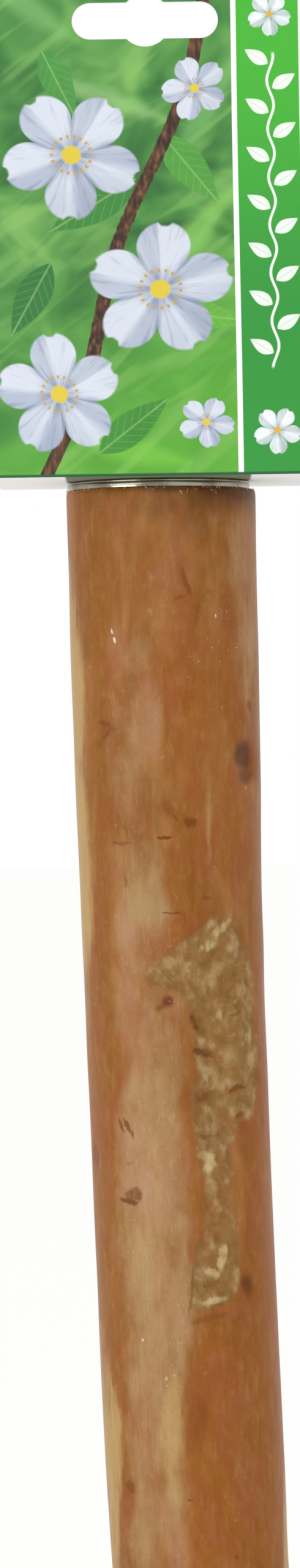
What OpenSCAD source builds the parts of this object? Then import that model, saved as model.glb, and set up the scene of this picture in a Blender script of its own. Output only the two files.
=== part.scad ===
// A natural branch perch for a bird cage, hung in the folded card it is sold with.
// Millimetres, +Z up. The origin is the middle of the hang slot in the card's header.
// The card faces -Y. The branch hangs below the card's base, held by one bolt:
// branch end, large washer, card base, small washer, wing nut.

/* [Branch] */
// Length of the branch between its two saw cuts
branch_len = 300; // [200:1:450]
// Thickness of the branch at its upper, fixed end
branch_d = 41.4; // [30:0.1:55]
// Sideways bend of the branch's axis by its lower end
bend_side = 8.9; // [0:0.1:25]
// Bow of the branch's axis to the back at mid length
bend_back = 1.5; // [0:0.1:8]
// How far the branch's axis lies beside the bolt at the saw cut
branch_side = 0.7; // [0:0.1:2]
// How far the sawn rims are worn in
rim_wear = 0.3; // [0.1:0.1:1.5]
// Height of the worn band at each sawn rim
rim_run = 1.2; // [0.5:0.1:3]

/* [Bolt] */
// Thread diameter of the hanger bolt
bolt_d = 6; // [5:0.5:8]
// Length of the machine-thread end above the saw cut
bolt_out = 23; // [20:0.5:30]
// Length of the wood-screw end inside the branch
bolt_in = 38; // [25:0.5:60]
// Length of the wood-screw point
bolt_point = 7; // [4:0.5:10]
// Bevel on the bolt's free end
bolt_bevel = 0.8; // [0.3:0.1:1.5]

/* [Washers] */
// Diameter of the large washer on the saw cut
inner_washer_d = 40; // [30:0.5:50]
// Thickness of the large washer
inner_washer_t = 2; // [1:0.1:3]
// Diameter of the small washer under the nut
outer_washer_d = 30; // [20:0.5:34]
// Thickness of the small washer
outer_washer_t = 1.5; // [1:0.1:2.5]
// Radial room between the bolt and a washer's hole
washer_play = 0.2; // [0.1:0.05:0.5]
// Rounding that the punch leaves on a washer's rim
punch_round = 0.4; // [0.1:0.05:0.7]

/* [Wing nut] */
// Width across both wings
wing_span = 33; // [28:0.5:35]
// Height of the nut from its seat to the tips of the wings
wing_rise = 17; // [14:0.5:18]
// Radius of each wing's rounded ear
ear_r = 5; // [4:0.1:6]
// Thickness of a wing at its root
wing_root_t = 4; // [3:0.1:5]
// Thickness of a wing at its tip
wing_tip_t = 2.4; // [1.5:0.1:3]
// Diameter of the boss at its seat
boss_d = 13; // [11:0.1:16]
// Diameter of the boss at its top
boss_top_d = 10; // [9:0.1:12]
// Height of the boss
boss_h = 8; // [6:0.1:10]
// Radial running room between the bolt and the nut
nut_play = 0.05; // [0.02:0.01:0.1]

/* [Card] */
// Width of the card
card_w = 67; // [50:0.5:90]
// Height of the card from its base to its top edge
card_h = 112; // [100:0.5:160]
// Depth of the card's base from fold to fold
card_depth = 52; // [46:0.5:70]
// Thickness of the sheet
card_t = 0.5; // [0.3:0.05:0.8]
// Height of the header, where both panels lie flat together
header_h = 22; // [20:0.5:30]
// Outer radius of the two folds at the base
fold_r = 1.1; // [0.9:0.1:2]
// Gap between the two panels at the header
header_gap = 0.2; // [0.1:0.05:0.5]
// Radial room between the bolt and the hole in the card's base
card_play = 0.5; // [0.3:0.1:1.5]
// How far the bolt's hole lies beside the card's middle
bolt_side = 1.5; // [0:0.1:3]

/* [Hang slot] */
// Width of the slot
slot_w = 32; // [25:0.5:36]
// Height of the slot's two side arms
slot_h = 8; // [6:0.5:10]
// Diameter of the round middle of the slot
slot_hub_d = 11.4; // [9:0.1:14]
// Distance from the slot's middle to the card's top edge
slot_drop = 11; // [9:0.5:16]

/* [Hidden] */

// Heights of the stack, from the card's base down and up
base_under_z = slot_drop - card_h;
saw_z = base_under_z - inner_washer_t;
base_top_z = base_under_z + card_t;
nut_seat_z = base_top_z + outer_washer_t;
foot_z = saw_z - branch_len;

// One overrun for every cut
cut_over = 1;

// Rings along the branch and sides round it
branch_rings = 76;
branch_sides = 42;
// Thickness at even stations from the upper end down, as shares of the thickness at the top
girth_share = [1, 1.003, 0.987, 0.966, 0.96, 0.951, 0.951, 0.947, 0.945, 0.942, 0.94];
// Out-of-round of the section: [lobes, size, phase in degrees, turn along the length in degrees]
lobe_share = [[2, 0.011, 20, 95], [3, 0.007, 140, -70], [5, 0.004, 60, 130]];
// Slow swells of one side: [bearing, place along, half width, half length, rise]
// Bearings are degrees from the front towards +X, other values are shares of the
// branch's length (place, half length), of a half turn (half width) and of its radius (rise)
mark_share = [
    // Long torn scar down the front, wide at its head, with a lip on both sides
    [14, 0.350, 0.115, 0.042, -0.062],
    [24, 0.405, 0.105, 0.045, -0.070],
    [27, 0.465, 0.090, 0.040, -0.058],
    [6, 0.515, 0.060, 0.040, -0.040],
    [42, 0.385, 0.050, 0.065, 0.030],
    [-4, 0.395, 0.045, 0.035, 0.024],
    // Second scar below it with its raised lower lip
    [12, 0.570, 0.075, 0.033, -0.062],
    [14, 0.612, 0.085, 0.012, 0.034],
    [-2, 0.600, 0.035, 0.016, 0.026],
    // Knot at the right edge near the top
    [55, 0.200, 0.100, 0.028, 0.044],
    [56, 0.200, 0.050, 0.014, -0.052],
    // Leaf scars
    [-40, 0.177, 0.070, 0.010, -0.026],
    [-46, 0.197, 0.060, 0.012, 0.022],
    [2, 0.234, 0.070, 0.008, -0.030],
    [-2, 0.256, 0.060, 0.006, -0.026],
    [-28, 0.470, 0.085, 0.010, -0.030],
    [-34, 0.517, 0.080, 0.012, 0.030],
    [-35, 0.517, 0.040, 0.006, -0.036],
    [-20, 0.725, 0.055, 0.010, -0.022],
    // The sides and the back, which carry the same kind of knots
    [118, 0.330, 0.110, 0.030, 0.050],
    [119, 0.330, 0.055, 0.014, -0.060],
    [-112, 0.440, 0.100, 0.050, -0.050],
    [168, 0.180, 0.090, 0.014, 0.034],
    [-150, 0.660, 0.120, 0.030, 0.052],
    [-149, 0.660, 0.055, 0.014, -0.060],
    [100, 0.790, 0.090, 0.040, -0.046],
    [10, 0.880, 0.080, 0.020, 0.030],
    [-70, 0.850, 0.080, 0.014, -0.034],
    // Flare at the upper left rim and slow waves of both edges
    [-90, 0.000, 0.300, 0.050, 0.022],
    [90, 0.170, 0.300, 0.080, 0.013],
    [90, 0.720, 0.300, 0.080, -0.014],
    [-90, 0.700, 0.300, 0.080, 0.014]
];

// Number of straight strips in each half of a panel's curve
card_strips = 14;
// Number of strips round a fold
fold_strips = 5;

bolt_r = bolt_d / 2;
ear_x = wing_span / 2 - ear_r;
ear_z = wing_rise - ear_r;
wing_foot = boss_h * 0.12;
wing_neck = boss_h * 0.92;

// Value between the even stations of a table, eased from one to the next
function eased(table, along) =
    let(
        place = max(0, min(1, along)) * (len(table) - 1),
        low = min(floor(place), len(table) - 2),
        part = place - low,
        ease = part * part * (3 - 2 * part)
    )
    table[low] + (table[low + 1] - table[low]) * ease;

// Smallest signed angle between two bearings
function turn_between(a, b) = let(d = (a - b) % 360) d > 180 ? d - 360 : (d < -180 ? d + 360 : d);

// Sum of the lobes at one bearing
function lobes(bearing, along) = sum([
    for (w = lobe_share) w[1] * cos(w[0] * bearing + w[2] + w[3] * along)
]);

// Sum of the marks at one bearing: each is a smooth hill or hollow
function marks(bearing, along) = sum([
    for (m = mark_share)
        let(
            across = turn_between(bearing, m[0]) / (m[2] * 180),
            down = (along - m[1]) / m[3]
        )
        m[4] * exp(-(across * across + down * down))
]);

function sum(list, i = 0) = i >= len(list) ? 0 : list[i] + sum(list, i + 1);

// Rims drawn in where the saw cut wore
function rim(along) =
    let(end = min(along, 1 - along) * branch_len / rim_run)
    end >= 1 ? 0 : rim_wear * (1 - end) * (1 - end);

// Shares of the length at which the branch has a ring: even, and one at the end of each worn rim
rim_share = rim_run / branch_len;
ring_share = concat(
    [0, rim_share],
    [for (i = [1:branch_rings - 1]) i / branch_rings],
    [1 - rim_share, 1]
);

// Radius of the branch at a bearing from the front and a share of its length
function branch_r(bearing, along) =
    branch_d / 2 * eased(girth_share, along) * (1 + lobes(bearing, along) + marks(bearing, along))
    - rim(along);

// Axis of the branch at a share of its length
function branch_axis(along) = [
    bolt_side + branch_side + bend_side * along * along,
    bend_back * sin(180 * along),
    saw_z - branch_len * along
];

// One point on the surface; a bearing of 0 faces the front and 90 faces +X
function branch_point(bearing, along) =
    branch_axis(along) + branch_r(bearing, along) * [sin(bearing), -cos(bearing), 0];

// Outline of the card's side: half depth at a share of the way from the base to the header
function half_depth(up) =
    let(down = 1 - up)
    header_gap / 2 + card_t + (card_depth / 2 - header_gap / 2 - card_t) * down * down * (3 - 2 * down);

/* Pieces */

module branch_solid() {
    ring = len(ring_share) - 1;
    side = branch_sides;
    points = [
        for (i = [0:ring], j = [0:side - 1]) branch_point(360 * j / side, ring_share[i])
    ];
    skin = [
        for (i = [0:ring - 1], j = [0:side - 1])
            let(
                a = i * side + j,
                b = i * side + (j + 1) % side,
                c = a + side,
                d = b + side
            )
            each [[a, b, d], [a, d, c]]
    ];
    top = [for (j = [side - 1:-1:0]) j];
    foot = [for (j = [0:side - 1]) ring * side + j];
    polyhedron(points, concat(skin, [top, foot]), convexity = 6);
}

module bolt_outline() {
    polygon([
        [0, saw_z - bolt_in],
        [bolt_r, saw_z - bolt_in + bolt_point],
        [bolt_r, saw_z + bolt_out - bolt_bevel],
        [bolt_r - bolt_bevel, saw_z + bolt_out],
        [0, saw_z + bolt_out]
    ]);
}

// The pilot hole: the same point and barrel as the screw, open at the saw cut
module pilot_hole() {
    rotate_extrude($fn = 64)
        polygon([
            [0, saw_z - bolt_in],
            [bolt_r, saw_z - bolt_in + bolt_point],
            [bolt_r, saw_z + cut_over],
            [0, saw_z + cut_over]
        ]);
}

module perch_branch() {
    color("#A26F43")
        difference() {
            branch_solid();
            translate([bolt_side, 0, 0]) pilot_hole();
        }
}

module hanger_bolt() {
    color("#B9BDC2")
        translate([bolt_side, 0, 0])
            rotate_extrude($fn = 64) bolt_outline();
}

// A punched washer: one face has the punch's rounded rim, the other a sharp edge
module washer(d, t, seat_z) {
    r = d / 2;
    hole_r = bolt_r + washer_play;
    translate([bolt_side, 0, seat_z])
        rotate_extrude($fn = 96)
            polygon(concat(
                [[hole_r, 0], [r, 0]],
                [for (a = [0:30:90]) [
                    r - punch_round * (1 - cos(a)),
                    t - punch_round * (1 - sin(a))
                ]],
                [[hole_r, t]]
            ));
}

module inner_washer() {
    color("#C4C7CA") washer(inner_washer_d, inner_washer_t, saw_z);
}

module outer_washer() {
    color("#C4C7CA") washer(outer_washer_d, outer_washer_t, base_top_z);
}

// Side view of the folded sheet: outer line one way, inner line back
module card_side() {
    low = base_under_z;
    high = slot_drop;
    neck = slot_drop - header_h;
    curve_low = low + fold_r;
    in_r = fold_r - card_t;
    fold_y = card_depth / 2 - fold_r;
    ups = [for (k = [1:card_strips]) k / card_strips];
    outer = concat(
        [[header_gap / 2 + card_t, high]],
        [for (k = [card_strips:-1:0])
            [half_depth(k / card_strips), curve_low + (neck - curve_low) * k / card_strips]],
        [for (k = [1:fold_strips])
            let(a = 90 * k / fold_strips)
            [fold_y + fold_r * cos(a), curve_low - fold_r * sin(a)]]
    );
    inner = concat(
        [for (k = [fold_strips:-1:1])
            let(a = 90 * k / fold_strips)
            [fold_y + in_r * cos(a), curve_low - in_r * sin(a)]],
        [for (k = [0:card_strips])
            [half_depth(k / card_strips) - card_t, curve_low + (neck - curve_low) * k / card_strips]],
        [[header_gap / 2, high]]
    );
    turned = function (list) [for (i = [len(list) - 1:-1:0]) [-list[i][0], list[i][1]]];
    polygon(concat(outer, turned(outer), turned(inner), inner));
}

// Peg-hook slot with rounded arms and a round middle
module slot_outline() {
    circle(d = slot_hub_d, $fn = 48);
    square([slot_w - slot_h, slot_h], center = true);
    for (side = [-1, 1])
        translate([side * (slot_w - slot_h) / 2, 0]) circle(d = slot_h, $fn = 48);
}

module header_card() {
    color("#5A9A4C")
        difference() {
            rotate([90, 0, 90])
                linear_extrude(card_w, center = true) card_side();
            rotate([90, 0, 0])
                linear_extrude(card_depth, center = true) slot_outline();
            translate([bolt_side, 0, base_under_z - cut_over])
                cylinder(r = bolt_r + card_play, h = card_t + 2 * cut_over, $fn = 64);
        }
}

// One wing seen from the front: a flared blade with a round ear
module wing_side() {
    inner_x = bolt_r;
    polygon([
        [inner_x, wing_foot],
        [boss_d / 2, wing_foot],
        [ear_x + ear_r * cos(-20), ear_z + ear_r * sin(-20)],
        [ear_x + ear_r * cos(160), ear_z + ear_r * sin(160)],
        [boss_top_d / 2, wing_neck],
        [inner_x, wing_neck]
    ]);
    translate([ear_x, ear_z]) circle(ear_r, $fn = 48);
}

// The same wing seen from above: thick at the root, thin at the ear
module wing_plan() {
    polygon([
        [0, -wing_root_t / 2],
        [wing_span / 2 + cut_over, -wing_tip_t / 2],
        [wing_span / 2 + cut_over, wing_tip_t / 2],
        [0, wing_root_t / 2]
    ]);
}

module wing() {
    intersection() {
        rotate([90, 0, 0]) linear_extrude(boss_d, center = true) wing_side();
        linear_extrude(wing_rise + cut_over) wing_plan();
    }
}

module wing_nut() {
    color("#AEB2B7")
        translate([bolt_side, 0, nut_seat_z])
            difference() {
                union() {
                    cylinder(d1 = boss_d, d2 = boss_top_d, h = boss_h, $fn = 64);
                    wing();
                    mirror([1, 0, 0]) wing();
                }
                translate([0, 0, -cut_over])
                    cylinder(r = bolt_r + nut_play, h = boss_h + 2 * cut_over, $fn = 64);
            }
}

perch_branch();
hanger_bolt();
inner_washer();
header_card();
outer_washer();
wing_nut();
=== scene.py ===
# %% [markdown]
# # A natural branch perch in its header card
# The object is a length of peeled branch that hangs below a folded card. One bolt goes
# up out of the branch's sawn end, through a large washer, the card's base, a small
# washer and a wing nut. The solids come from the CAD model and fix every size.
# This lesson dresses them: it makes finer meshes of the same shapes and gives each
# one a material that starts from how the real surface was made.

# %% Load the frame
import bpy
import bmesh
import math
import numpy as np
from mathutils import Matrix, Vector


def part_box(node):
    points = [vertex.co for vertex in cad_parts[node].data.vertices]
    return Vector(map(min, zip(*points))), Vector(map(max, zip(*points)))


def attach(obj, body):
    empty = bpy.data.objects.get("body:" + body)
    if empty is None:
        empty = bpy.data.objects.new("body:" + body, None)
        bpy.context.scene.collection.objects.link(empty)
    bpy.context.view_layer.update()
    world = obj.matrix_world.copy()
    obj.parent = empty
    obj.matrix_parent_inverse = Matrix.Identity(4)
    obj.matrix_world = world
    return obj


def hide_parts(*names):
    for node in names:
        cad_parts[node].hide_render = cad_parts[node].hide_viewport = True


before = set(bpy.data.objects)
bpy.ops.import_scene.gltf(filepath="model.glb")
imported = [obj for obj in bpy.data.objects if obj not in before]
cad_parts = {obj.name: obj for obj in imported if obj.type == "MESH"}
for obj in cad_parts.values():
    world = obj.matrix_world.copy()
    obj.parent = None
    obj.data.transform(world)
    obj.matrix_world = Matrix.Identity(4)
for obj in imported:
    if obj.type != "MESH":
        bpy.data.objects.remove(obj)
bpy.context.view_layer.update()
scene = bpy.context.scene
MM = 0.001
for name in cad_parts:
    low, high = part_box(name)
    print(name, "mm:", [round((high[i] - low[i]) / MM, 1) for i in range(3)])

# %% [markdown]
# ## Sizes that the pieces share
# Each piece is measured from its CAD node, so that what is made here stays in step.
# The photograph's scale comes from the hang slot, which is 32 mm wide. It gives
# 7.46 pixels to the millimetre at the branch's axis.

# %% Named sizes
branch_low, branch_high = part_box("perch_branch")
bolt_low, bolt_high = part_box("hanger_bolt")
card_low, card_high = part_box("header_card")
SAW_Z = branch_high[2]
FOOT_Z = branch_low[2]
BRANCH_LEN = SAW_Z - FOOT_Z
BOLT_X = (bolt_low[0] + bolt_high[0]) / 2
BOLT_R = (bolt_high[0] - bolt_low[0]) / 2
print("branch length mm:", round(BRANCH_LEN / MM, 2), "bolt at x mm:", round(BOLT_X / MM, 2))

# %% [markdown]
# ## The camera
# The photograph was taken level with the middle of the picture, from about 1.3 m:
# the underside of the card's base shows as a strip 20 pixels high, and a depth of
# 52 mm gives that strip from this distance. The whole object is turned by 0.8 degrees
# in the picture, which is a roll of the camera. A camera could be placed by eye, but
# these measures place it in one step.

# %% Camera
FRAME_W, FRAME_H = 490, 2560
CAMERA_FAR = 1.3
PIXELS_PER_M = 7460.0
PIXELS_PER_MM = PIXELS_PER_M * MM
FOCAL_PX = PIXELS_PER_M * CAMERA_FAR
ROLL = 0.0143
SENSOR = 36.0
# The slot's middle lies at this pixel, and at the origin of the frame
SLOT_PX = (236.5, 34.0)


def upright(px, py):
    """A pixel's place from the picture's middle once the camera's roll is undone: right and up."""
    right, down = px - FRAME_W / 2, py - FRAME_H / 2
    return (right * math.cos(ROLL) - down * math.sin(ROLL),
            -(right * math.sin(ROLL) + down * math.cos(ROLL)))


slot_right, slot_up = upright(*SLOT_PX)
CAMERA_X = -slot_right / PIXELS_PER_M
CAMERA_Z = -slot_up / PIXELS_PER_M

camera_data = bpy.data.cameras.new("photo_camera")
camera_data.sensor_fit = "AUTO"
camera_data.sensor_width = SENSOR
camera_data.lens = FOCAL_PX * SENSOR / FRAME_H
camera_data.clip_start, camera_data.clip_end = 0.05, 60.0
camera = bpy.data.objects.new("photo_camera", camera_data)
scene.collection.objects.link(camera)
camera.location = (CAMERA_X, -CAMERA_FAR, CAMERA_Z)
camera.rotation_euler = (math.radians(90), ROLL, 0)
scene.camera = camera
print("camera at mm:", [round(v / MM, 1) for v in camera.location], "lens", round(camera_data.lens, 1))

# %% [markdown]
# ## Colours and nodes
# Colours are picked as sRGB hex values, as a paint chart gives them, and one function
# turns them to the linear values that a shader works in. A second gives sockets their
# values, whether they are links, colours or numbers.

# %% Colours and sockets


def colour(hex_value):
    """An sRGB hex value as linear red, green, blue and alpha."""
    parts = [int(hex_value[i:i + 2], 16) / 255 for i in (1, 3, 5)]
    return [p / 12.92 if p <= 0.04045 else ((p + 0.055) / 1.055) ** 2.4 for p in parts] + [1.0]


def feed(node, values):
    """Gives a node's sockets their values. A node stands for its first output in use."""
    for key, value in values.items():
        if isinstance(value, bpy.types.Node):
            value = next(socket for socket in value.outputs if socket.enabled)
        if isinstance(value, bpy.types.NodeSocket):
            node.id_data.links.new(value, node.inputs[key])
        else:
            node.inputs[key].default_value = colour(value) if isinstance(value, str) else value


print("mid grey #808080 in linear terms:", round(colour("#808080")[0], 3))

# %% [markdown]
# One function adds a node of any kind with its settings and links. The kinds that come
# up on nearly every line have a short name in a table. Ease is a smooth step: it goes
# from one value to another between two levels of a pattern.

# %% Adding a node
# A short name's kind, the sockets that its values go to, and its settings
SHORT_NAMES = {
    "mix": ("ShaderNodeMix", (0, 6, 7), {"data_type": "RGBA"}),
    "ease": ("ShaderNodeMapRange", (0, 1, 2, 3, 4), {"interpolation_type": "SMOOTHSTEP"}),
    "ramp": ("ShaderNodeValToRGB", (0,), {}),
    "bump": ("ShaderNodeBump", ("Height", "Strength", "Distance"), {})}


def add(tree, kind, *values, stops=(), **settings):
    """Adds a node of any kind, and returns it.

    A kind in capitals is an operation of the Math node. Values go to the sockets in order, or by name
    when they come as one dictionary. Settings are the node's attributes, and stops are a colour ramp's
    places and colours."""
    sockets = (0, 1, 2)
    if kind.isupper():
        kind, settings = "ShaderNodeMath", {"operation": kind, **settings}
    elif kind in SHORT_NAMES:
        kind, sockets, fixed = SHORT_NAMES[kind]
        settings = {**fixed, **settings}
    node = tree.nodes.new(kind)
    for key, value in settings.items():
        setattr(node, key, value)
    feed(node, values[0] if values and isinstance(values[0], dict) else dict(zip(sockets, values)))
    for _ in stops[2:]:
        node.color_ramp.elements.new(0.5)
    for index, (place, hex_value) in enumerate(stops):
        node.color_ramp.elements[index].position = place
        node.color_ramp.elements[index].color = colour(hex_value)
    return node


print("short names:", {name: kind for name, (kind, *_) in SHORT_NAMES.items()})

# %% [markdown]
# Two groups of nodes come back in most materials, so each has a function too. Noise
# gets its grain in real millimetres. A tint lays one colour over another where a
# pattern is strong.

# %% Materials and patterns


def material(name):
    """A new material with an empty node tree, its output and its Principled shader."""
    made = bpy.data.materials.new(name)
    made.use_nodes = True
    tree = made.node_tree
    tree.nodes.clear()
    shader = add(tree, "ShaderNodeBsdfPrincipled")
    add(tree, "ShaderNodeOutputMaterial", {"Surface": shader})
    return made, tree, shader


def grain(tree, place, size, detail=3.0, rough=0.5, distort=0.0):
    """Noise whose grain is a size in millimetres along X, Y and Z."""
    scaled = add(tree, "ShaderNodeMapping", {"Vector": place, "Scale": [1 / (s * MM) for s in size]})
    return add(tree, "ShaderNodeTexNoise", {"Vector": scaled, "Scale": 1.0, "Detail": detail,
                                            "Roughness": rough, "Distortion": distort})


def tint(tree, base, tone, pattern, low, high, share=1.0):
    """Lays a tone over a base: none of it where the pattern is at low, its full share where it is at high."""
    return add(tree, "mix", add(tree, "ease", pattern, low, high, 0.0, share), base, tone)


print("a grain of 2 mm repeats", round(1 / (2 * MM)), "times a metre")

# %% [markdown]
# ## Floor and light
# The product was shot in a white tent: the light comes from all round, with a soft lamp
# in front, high and to the left. A second, wide and low, stands further to the left.
# The wood mirrors that one as the pale sheen down its left half, and gets darker and
# deeper in colour towards the right. A third is a narrow strip level with the large
# washer, whose upright rim mirrors it as one bright spot. A pale floor, painted matt so
# that it mirrors nothing, and a white sky do the rest. A picture of a studio could
# light it too, but only lamps can be moved until each reflection has its place.

# %% Floor and light


def mesh_object(name, points, faces, smooth=True):
    """A mesh object at the origin, with its place in its vertices."""
    mesh = bpy.data.meshes.new(name)
    mesh.from_pydata([tuple(p) for p in points], [], faces)
    mesh.validate()
    mesh.polygons.foreach_set("use_smooth", [smooth] * len(mesh.polygons))
    made = bpy.data.objects.new(name, mesh)
    scene.collection.objects.link(made)
    return made


def soft_lamp(name, place, aim, width, height, power):
    """A rectangular soft box that faces a point. Its power is in watts."""
    data = bpy.data.lights.new(name, "AREA")
    data.shape = "RECTANGLE"
    data.size, data.size_y = width, height
    data.energy = power
    lamp = bpy.data.objects.new(name, data)
    scene.collection.objects.link(lamp)
    lamp.location = place
    lamp.rotation_mode = "QUATERNION"
    lamp.rotation_quaternion = (Vector(aim) - Vector(place)).to_track_quat("-Z", "Y")


FLOOR_HALF, FLOOR_GAP = 20.0, 60 * MM
floor = mesh_object("studio_floor", [
    (x * FLOOR_HALF, y * FLOOR_HALF, FOOT_Z - FLOOR_GAP) for x, y in ((-1, -1), (1, -1), (1, 1), (-1, 1))],
    [(0, 1, 2, 3)], smooth=False)
floor_paint, tree, shader = material("matt white painted floor")
feed(shader, {"Base Color": "#FDFDFC", "Roughness": 0.9})
floor.data.materials.append(floor_paint)

scene.view_settings.view_transform = "Standard"
world = bpy.data.worlds.new("white_tent")
world.use_nodes = True
feed(world.node_tree.nodes["Background"], {"Color": "#FFFFFF", "Strength": 1.0})
scene.world = world
soft_lamp("key_soft_box", (-0.75, -1.1, 0.75), (0, 0, CAMERA_Z), width=0.7, height=0.7, power=0.6)
soft_lamp("low_wide_box", (-0.97, -1.0, -0.42), (0, 0, -0.25), width=0.8, height=0.40, power=6.5)
soft_lamp("edge_strip_box", (-0.94, -1.04, -0.03), (0, 0, card_low[2]), width=1.1, height=0.05, power=1.0)

# %% [markdown]
# ## The branch: its form
# A branch could be sculpted, but then nobody could say how. Here it follows a rule:
# a bent axis, a thickness that changes slowly, a section with a few low lobes, and
# hills and hollows at named places. These are the CAD model's own rule and values,
# so the fine mesh lies on the CAD solid.

# %% Values of the branch
BRANCH_R = 41.4 / 2 * MM
AXIS_X = BOLT_X + 0.7 * MM
BEND_SIDE, BEND_BACK = 8.9 * MM, 1.5 * MM
RIM_WEAR, RIM_RUN = 0.3 * MM, 1.2 * MM
# Thickness at even stations from the top to the foot, as a share of the top's
GIRTH = np.array([1, 1.003, 0.987, 0.966, 0.96, 0.951, 0.951, 0.947, 0.945, 0.942, 0.94])
# How many lobes, their size as a share of the radius, their phase and their twist in degrees
LOBES = [(2, 0.011, 20, 95), (3, 0.007, 140, -70), (5, 0.004, 60, 130)]
# Hills and hollows: bearing, place along, half width as a share of half a turn, half length and rise
SWELLS = [
    (14, 0.350, 0.115, 0.042, -0.062), (24, 0.405, 0.105, 0.045, -0.070),
    (27, 0.465, 0.090, 0.040, -0.058), (6, 0.515, 0.060, 0.040, -0.040),
    (42, 0.385, 0.050, 0.065, 0.030), (-4, 0.395, 0.045, 0.035, 0.024),
    (12, 0.570, 0.075, 0.033, -0.062), (14, 0.612, 0.085, 0.012, 0.034),
    (-2, 0.600, 0.035, 0.016, 0.026), (55, 0.200, 0.100, 0.028, 0.044),
    (56, 0.200, 0.050, 0.014, -0.052), (-40, 0.177, 0.070, 0.010, -0.026),
    (-46, 0.197, 0.060, 0.012, 0.022), (2, 0.234, 0.070, 0.008, -0.030),
    (-2, 0.256, 0.060, 0.006, -0.026), (-28, 0.470, 0.085, 0.010, -0.030),
    (-34, 0.517, 0.080, 0.012, 0.030), (-35, 0.517, 0.040, 0.006, -0.036),
    (-20, 0.725, 0.055, 0.010, -0.022), (118, 0.330, 0.110, 0.030, 0.050),
    (119, 0.330, 0.055, 0.014, -0.060), (-112, 0.440, 0.100, 0.050, -0.050),
    (168, 0.180, 0.090, 0.014, 0.034), (-150, 0.660, 0.120, 0.030, 0.052),
    (-149, 0.660, 0.055, 0.014, -0.060), (100, 0.790, 0.090, 0.040, -0.046),
    (10, 0.880, 0.080, 0.020, 0.030), (-70, 0.850, 0.080, 0.014, -0.034),
    (-90, 0.000, 0.300, 0.050, 0.022), (90, 0.170, 0.300, 0.080, 0.013),
    (90, 0.720, 0.300, 0.080, -0.014), (-90, 0.700, 0.300, 0.080, 0.014)]
print("lobes:", len(LOBES), "hills and hollows:", len(SWELLS))

# %% [markdown]
# The rule turns these values into a radius for any bearing and any place along the
# branch. The rim of each saw cut is a little worn.

# %% Branch rule


def girth(along):
    """Share of the thickness at the top, eased from one even station to the next."""
    place = np.clip(along, 0, 1) * (len(GIRTH) - 1)
    low = np.minimum(np.floor(place).astype(int), len(GIRTH) - 2)
    part = place - low
    return GIRTH[low] + (GIRTH[low + 1] - GIRTH[low]) * part * part * (3 - 2 * part)


def branch_radius(bearing, along):
    """Radius at a bearing in degrees, 0 to the front and 90 to +X, and a share of the length."""
    total = np.ones_like(bearing)
    for lobes, size, phase, turn in LOBES:
        total += size * np.cos(np.radians(lobes * bearing + phase + turn * along))
    for at, place, wide, tall, rise in SWELLS:
        across = ((bearing - at + 180) % 360 - 180) / (wide * 180)
        total += rise * np.exp(-(across ** 2 + ((along - place) / tall) ** 2))
    end = np.minimum(along, 1 - along) * BRANCH_LEN / RIM_RUN
    rim = np.where(end < 1, RIM_WEAR * (1 - end) ** 2, 0)
    return BRANCH_R * girth(along) * total - rim


def branch_axis(along):
    """Points of the bent axis."""
    return np.stack([AXIS_X + BEND_SIDE * along ** 2,
                     BEND_BACK * np.sin(np.pi * along),
                     SAW_Z - BRANCH_LEN * along], -1)


print("front radius mm at the middle:", round(float(branch_radius(np.zeros(1), 0.5)[0] / MM), 2))

# %% [markdown]
# The rule is worked out on a grid of rows and columns. The front half, which the camera
# sees, gets more columns than the back.

# %% Branch grid
FRONT_COLUMNS, BACK_COLUMNS, BRANCH_ROWS = 156, 60, 424
FRONT_HALF = 95
front = np.linspace(-FRONT_HALF, FRONT_HALF, FRONT_COLUMNS, endpoint=False)
back = np.linspace(FRONT_HALF, 360 - FRONT_HALF, BACK_COLUMNS, endpoint=False)
columns = np.concatenate([front, back])
# One extra row at each end lies where the worn rim starts
rows = np.linspace(0, 1, BRANCH_ROWS - 1)
worn_share = RIM_RUN / BRANCH_LEN / 2
rows = np.concatenate([rows[:1], [worn_share], rows[1:-1], [1 - worn_share], rows[-1:]])
ALONG, BEARING = np.meshgrid(rows, columns, indexing="ij")
base_radius = branch_radius(BEARING, ALONG)
outward = np.stack([np.sin(np.radians(BEARING)), -np.cos(np.radians(BEARING)),
                    np.zeros_like(BEARING)], -1)
base_points = branch_axis(ALONG) + outward * base_radius[..., None]
print("branch grid:", base_points.shape, "box mm:",
      np.round((base_points.max((0, 1)) - base_points.min((0, 1))) / MM, 1))

# %% [markdown]
# ## The branch: where its marks are
# Every scar, knot and stripe of the photograph gets a place in pixels. The script
# projects the grid's points into the picture, so a place in pixels picks out its
# points on the wood. The marks could be painted by hand on an image. Kept as values on
# the points, they need no file and one number moves each. The back, which no
# photograph shows, has marks of its own, in the same pixels, as if the camera saw them
# through the wood.

# %% Picture places of the grid


def picture_place(points):
    """Pixels of points in the row frame, as the photo camera sees them."""
    depth = CAMERA_FAR + points[..., 1]
    right = (points[..., 0] - CAMERA_X) / depth * FOCAL_PX
    up = (points[..., 2] - CAMERA_Z) / depth * FOCAL_PX
    down = -up
    px = FRAME_W / 2 + right * math.cos(ROLL) + down * math.sin(ROLL)
    py = FRAME_H / 2 - right * math.sin(ROLL) + down * math.cos(ROLL)
    return px, py


LATTICE_SIZE, LATTICE_SEED, OCTAVE_SHIFT = 64, 11, 17.3
LATTICE = np.random.default_rng(LATTICE_SEED).random((LATTICE_SIZE,) * 3)


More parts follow.
